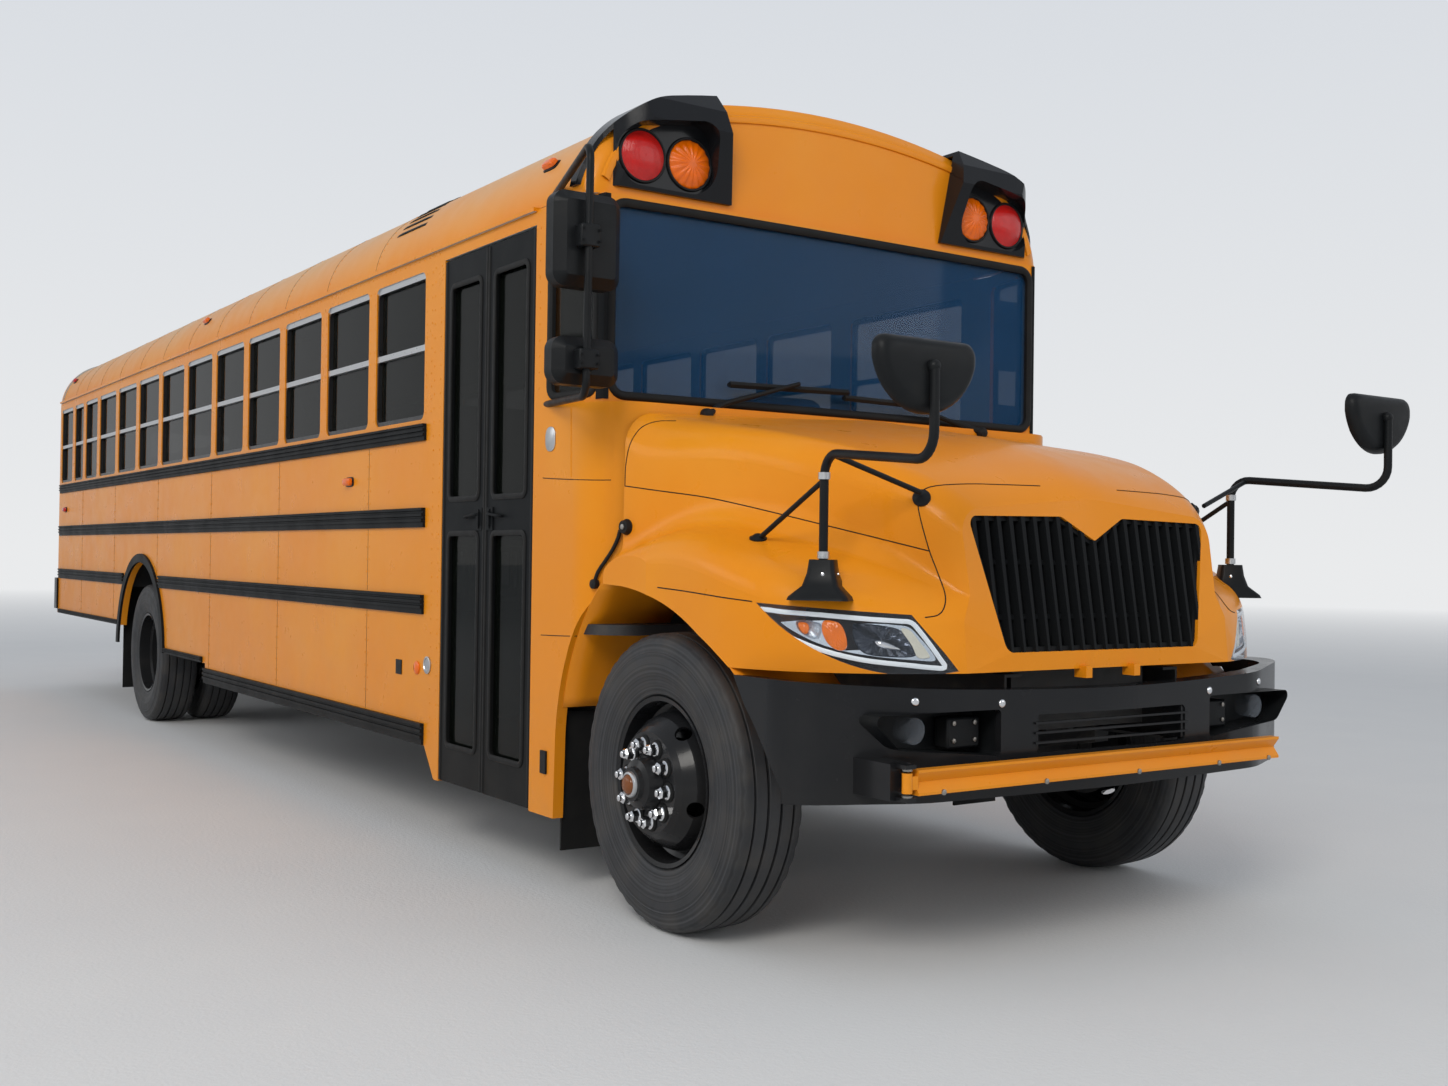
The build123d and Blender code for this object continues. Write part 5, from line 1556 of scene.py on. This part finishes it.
LARGE_BULB = [(1.0, 0.013), (0.97, 0.010), (0.80, 0.007), (0.45, 0.005), (0.02, 0.004)]
MAIN_BOWL = [(1.0, 0.012), (0.94, 0.020), (0.80, 0.027), (0.62, 0.032), (0.40, 0.036), (0.02, 0.038)]
bezel, cups, dark, amber, bright, cream, strip, seal = (bmesh.new() for _ in range(8))
for flip in (False, True):
    bezel_plate(bezel, flip)
    for target, pixels, profile, ripple in (
        (cups, SMALL_TURN, [(1.0, 0.012), (0.93, 0.020), (0.80, 0.030), (0.40, 0.036), (0.02, 0.037)], 0.0),
        (amber, LARGE_TURN, LARGE_BULB, 0.0009),
        (amber, SMALL_BULB, [(1.0, 0.024), (0.95, 0.016), (0.7, 0.012), (0.02, 0.010)], 0.0007),
        (dark, MAIN_LAMP, MAIN_BOWL, 0.0034),
        (bright, PROJECTOR, [(1.0, 0.034), (1.0, 0.024), (0.88, 0.017), (0.5, 0.013), (0.02, 0.012)], 0.0),
        (cream, CREAM, [(1.0, 0.012), (0.97, 0.009), (0.5, 0.008), (0.02, 0.008)], 0.0),
    ):
        lamp_cup(target, pixels, profile, flip, ripple)
    ribbon(strip, lamp_loop(LIGHT_BAND, 0.006), 0.0075, flip)
    add_tube(seal, mirrored(lamp_loop(LIGHT_BAND, 0.012), flip), 0.004, sides=6, closed=True)
# Bezel and small cup: chrome whose pale blue-grey colour, more than half of it diffuse, is partly its own
# silver and partly painted reflection of the sky
bezel_painted_sky_reflection = moulded("lamp_bezel", (0.50, 0.57, 0.65), 0.25, dusty=0.0, metallic=0.45, shine=0.5)
dark_bowl = metal("lamp_reflector", (0.22, 0.24, 0.28), 0.09)
glow = moulded("lamp_light_strip", (0.74, 0.80, 0.86), 0.2, dusty=0.0)
ivory = moulded("lamp_side_panel", (0.56, 0.55, 0.47), 0.3, dusty=0.0)
piece("headlamp_bezels", bezel, bezel_painted_sky_reflection, "hood", "window_aluminium", smooth=35)
piece("headlamp_cups", cups, bezel_painted_sky_reflection, "hood", "window_aluminium", smooth=35)
piece("headlamp_reflectors", dark, dark_bowl, "hood", "black_plastic", smooth=25)
piece("headlamp_projectors", bright, chrome, "hood", "window_aluminium", smooth=50)
turn_lens = lens_plastic("turn_lens", (0.80, 0.17, 0.002), ridge=40.0, glow=0.14)
piece("headlamp_turn_lamps", amber, turn_lens, "hood", "amber_lens", smooth=40)
piece("headlamp_side_panels", cream, ivory, "hood", "window_aluminium", smooth=40)
piece("headlamp_light_strips", strip, glow, "hood", "window_aluminium", smooth=50)
piece("headlamp_seals", seal, rubber, "hood", "black_plastic", smooth=50)

# Behind the grille and in the bumper


def on_nose(x, depth, z):
    """A point of the leaning nose: depth is behind its face, z is measured before it leans."""
    return at(x, -0.985 + depth + max(0.0, z - GRILLE_LOW) * math.tan(RAKE), z)


mesh = bmesh.new()
rows = []
for z in (1.005, 1.12, 1.24, 1.36, 1.478):
    half = 0.484 + (z - 1.015) / 0.447 * 0.092
    rows.append([on_nose(x * half / 8, 0.041, z) for x in range(-8, 9)])
add_grid(mesh, rows)
thicken(piece("grille_backing", mesh, black_plastic, "hood", "black_plastic"), 0.004)

BUMPER_BOLTS = ((915, 702), (1002, 703.5))
mesh = bmesh.new()
bumper_skin = skin("front_bumper")
BOLT_HEAD = [(-0.002, 0.014), (0.002, 0.014), (0.005, 0.011), (0.0065, 0.006), (0.007, 0.0)]
for px, py in BUMPER_BOLTS:
    spot, normal = seen_on(bumper_skin, px, py)
    for flip in (False, True):
        add_lathe(mesh, *mirrored((spot, normal), flip), BOLT_HEAD, 20)
piece("bumper_bolts", mesh, chrome, "bus_body", "window_aluminium", smooth=50)

# Pockets on both sides of the bumper's middle: dark walls, a lamp and the box beside it

walls, lamps, boxes, rods = (bmesh.new() for _ in range(4))
POCKET = bent_path([
    (0.78, 0, 0.838), (0.520, 0, 0.838), (0.520, 0, 0.690), (0.930, 0, 0.730), (1.040, 0, 0.838),
    (0.78, 0, 0.838),
], [0.015, 0.015, 0.060, 0.020], 5)[1:-1]
FOG_LAMP = [(-0.04, 0.040), (0.012, 0.043), (0.018, 0.042), (0.020, 0.037), (0.022, 0.023), (0.023, 0.0)]
BOX_X = 0.625
for side in (1, -1):
    rows = []
    for depth in (-1.000, -0.960, -0.900, -0.870):
        row = []
        for p in POCKET:
            front = -1.022 + 0.030 * max(0.0, (p.x - 0.45) / 0.5) ** 2
            y = max(depth, front + 0.004) if depth == -1.000 else depth
            row.append(at(side * (p.x + (0.004 if p.x > 0.8 else -0.002)), y, p.z))
        rows.append(row)
    add_shell(walls, rows)
    add_lathe(lamps, at(side * 0.845, -0.940, 0.782), (0, -1, 0), FOG_LAMP, 40)
    add_box(boxes, at(side * BOX_X - 0.070, -0.945, 0.714), at(side * BOX_X + 0.070, -0.880, 0.812))
    for dx in (-0.045, 0.045):
        for z in (0.740, 0.795):
            spot = at(side * BOX_X + dx, -0.945, z)
            add_lathe(rods, spot, (0, -1, 0), [(0, 0.008), (0.005, 0.008), (0.007, 0.0)], 6)
piece("bumper_pockets", walls, black_plastic, "bus_body", "black_plastic", smooth=35)
piece("bumper_fog_lamps", lamps, clear_lens, "bus_body", "clear_lens", smooth=50)
piece("bumper_boxes", boxes, black_plastic, "bus_body", "black_plastic", bevel=0.008)
piece("bumper_box_bolts", rods, steel, "bus_body", "cast_metal", smooth=40)

mesh = bmesh.new()
SCREW_HEAD = [(-0.002, 0.009), (0.003, 0.009), (0.005, 0.006), (0.0055, 0.0)]
for x in (-0.86, -0.42, 0.02, 0.44, 0.72):
    add_lathe(mesh, at(x, -1.1085, 0.616), (0, -1, 0), SCREW_HEAD, 16)
for z, up_down in ((0.6135, -1), (0.6865, 1)):
    cap = [(0, 0.016), (0.006, 0.016), (0.008, 0.010), (0.009, 0.0)]
    add_lathe(mesh, at(-0.990, -1.090, z), (0, 0, up_down), cap, 20)
piece("crossing_arm_bolts", mesh, steel, "crossing_arm", "cast_metal", smooth=50)

# Rear door: hinges, handle and rubber

DOOR_RUBBER = [(-0.006, -0.010), (-0.006, 0.004), (0.0, 0.008), (0.006, 0.004), (0.006, -0.010)]
WINDOW_RUBBER = [
    (-0.014, -0.004), (-0.014, 0.004), (-0.006, 0.008), (0.008, 0.008), (0.014, 0.003), (0.014, -0.004),
]


def rear_rubber(mesh, middle, half, low, high, corner, steps, section):
    """Rubber round a rectangle of the rear wall."""
    loop = rounded_loop(middle - half, middle + half, low, high, corner, steps)
    add_rim(mesh, loop, section, lambda u, v, h: at(u, REAR_FACE + h, v))


mesh = bmesh.new()
rear_rubber(mesh, 0.0, 0.476, 1.050, 2.562, 0.012, 3, DOOR_RUBBER)
for low, high in ((1.180, 1.620), (1.900, 2.480)):
    rear_rubber(mesh, 0.0, 0.394, low, high, 0.04, 5, WINDOW_RUBBER)
piece("rear_door_rubber", mesh, rubber, "rear_door", "black_plastic", smooth=50)
mesh = bmesh.new()
for side in (-1, 1):
    rear_rubber(mesh, side * 0.830, 0.230, 1.930, 2.500, 0.04, 5, WINDOW_RUBBER)
piece("rear_window_rubber", mesh, rubber, "bus_body", "black_plastic", smooth=50)
mesh = bmesh.new()
for z in (1.30, 1.80, 2.30):
    barrel = [(0, 0.0), (0, 0.0075), (0.09, 0.0075), (0.09, 0.0)]
    add_lathe(mesh, at(-0.470, REAR_FACE + 0.003, z - 0.045), (0, 0, 1), barrel, 16)
    add_box(mesh, at(-0.466, REAR_FACE + 0.001, z - 0.040), at(-0.400, REAR_FACE + 0.006, z + 0.040))
piece("rear_door_hinges", mesh, black_satin, "rear_door", "black_rails", bevel=0.001)
mesh = bmesh.new()
add_box(mesh, at(0.325, REAR_FACE, 1.690), at(0.425, REAR_FACE + 0.006, 1.780))
BOW = ((0.335, 0.004), (0.340, 0.036), (0.375, 0.040), (0.412, 0.036), (0.417, 0.004))
add_tube(mesh, smooth_path([at(x, REAR_FACE + out, 1.735) for x, out in BOW], 5), 0.007, sides=10)
piece("rear_door_handle", mesh, steel, "rear_door", "cast_metal", smooth=40)
spots = []
for i in range(24):
    for x in (-1.09, -0.565, 0.565, 1.09):
        spots.append((at(x, REAR_FACE, 1.10 + i * 0.062), (0, 1, 0)))
for i in range(18):
    for x in (-1, 1):
        spots.append((at(x * (0.58 + i * 0.029), REAR_FACE, 1.855), (0, 1, 0)))
        spots.append((at(x * i * 0.056, REAR_FACE, 2.62), (0, 1, 0)))
mesh = bmesh.new()
add_rivets(mesh, spots)
piece("rear_rivets", mesh, yellow, "bus_body", "yellow_paint")

# Stop arm: white border and its two small lamps

mesh = bmesh.new()
lamps = bmesh.new()
centre_y, centre_z = 1.430, 1.660
REACH = 0.225 / math.cos(math.radians(22.5))
LAMP = [(0, 0.042), (0.004, 0.042), (0.009, 0.030), (0.012, 0.012), (0.0125, 0.0)]
for face_x, out in ((1.274, 1), (1.262, -1)):
    outer, inner = [], []
    for i in range(8):
        angle = math.radians(22.5 + 45 * i)
        for corners, inset in ((outer, 0.012), (inner, 0.030)):
            along, high = (REACH - inset) * math.cos(angle), (REACH - inset) * math.sin(angle)
            corners.append(at(face_x + out * 0.0006, centre_y + along, centre_z + high))
    for i in range(8):
        j = (i + 1) % 8
        add_grid(mesh, [[outer[i], outer[j]], [inner[i], inner[j]]])
    for z in (centre_z + 0.150, centre_z - 0.150):
        add_lathe(lamps, at(face_x, centre_y, z), (out, 0, 0), LAMP, 40)
piece("stop_arm_border", mesh, white_paint, "stop_arm", "red_paint")
piece("stop_arm_lamps", lamps, red_lens, "stop_arm", "red_lens", smooth=60)

# Floor, lamps and world

BACKDROP = (0.82, 0.83, 0.84)


def floor_material():
    """Pale floor that fades into the backdrop far away, for the camera only."""
    g = Graph("studio_floor")
    g.colour(g.mix(g.noise(1.5, 5), (0.68, 0.68, 0.68), (0.72, 0.72, 0.71)))
    g.rough(0.75)
    g.bump(g.noise(60.0, 6), 0.002)
    far = g.ranged(g.vector("LENGTH", g.place()), 12.0, 42.0)
    share = g.math("MULTIPLY", far, g.node("LightPath").outputs["Is Camera Ray"])
    haze = g.node("Emission")
    g.feed(haze.inputs["Color"], BACKDROP)
    blend = g.node("MixShader")
    g.join(share, blend.inputs[0])
    g.join(g.shader.outputs[0], blend.inputs[1])
    g.join(haze.outputs[0], blend.inputs[2])
    g.join(blend.outputs[0], g.tree.nodes["Material Output"].inputs["Surface"])
    return g.material


mesh = bmesh.new()
FLOOR_HALF = 150
signs = ((-1, -1), (1, -1), (1, 1), (-1, 1))
mesh.faces.new([mesh.verts.new((x * FLOOR_HALF, y * FLOOR_HALF, -0.001)) for x, y in signs])
floor_data = bpy.data.meshes.new("studio_floor")
mesh.to_mesh(floor_data)
mesh.free()
floor_data.materials.append(floor_material())
add_object("studio_floor", floor_data)


def area_lamp(name, place, target, size, power, colour=(1, 1, 1)):
    """A soft lamp that faces its target."""
    data = bpy.data.lights.new(name, "AREA")
    data.shape = "RECTANGLE"
    data.size, data.size_y = size
    data.energy = power
    data.color = colour
    made = add_object(name, data)
    made.location = place
    made.rotation_euler = (Vector(target) - Vector(place)).to_track_quat("-Z", "Y").to_euler()


area_lamp("key", (-12, -14, 11), (0, -2, 1.5), (7, 6), 1350, (1.0, 0.97, 0.92))
area_lamp("side", (-14, 4, 7), (0, 2, 1.5), (14, 5), 330, (0.98, 0.99, 1.0))
area_lamp("front", (7, -16, 7), (0, -4, 1.5), (8, 6), 180)

world = bpy.data.worlds.new("studio")
bpy.context.scene.world = world
world.use_nodes = True
tree = world.node_tree
background = tree.nodes["Background"]
coord = tree.nodes.new("ShaderNodeTexCoord")
split = tree.nodes.new("ShaderNodeSeparateXYZ")
ramp = tree.nodes.new("ShaderNodeValToRGB")
tree.links.new(coord.outputs["Generated"], split.inputs[0])
tree.links.new(split.outputs["Z"], ramp.inputs["Fac"])
for element, position, colour in zip(ramp.color_ramp.elements, (0.0, 0.55), (BACKDROP, (0.62, 0.66, 0.72))):
    element.position = position
    element.color = (*colour, 1)
tree.links.new(ramp.outputs["Color"], background.inputs["Color"])
# The backdrop is a little brighter to the camera than the light it gives
strength = tree.nodes.new("ShaderNodeMapRange")
strength.inputs["To Min"].default_value = 0.80
strength.inputs["To Max"].default_value = 1.0
seen = tree.nodes.new("ShaderNodeLightPath").outputs["Is Camera Ray"]
tree.links.new(seen, strength.inputs["Value"])
tree.links.new(strength.outputs["Result"], background.inputs["Strength"])

bpy.context.scene.view_settings.view_transform = "Standard"
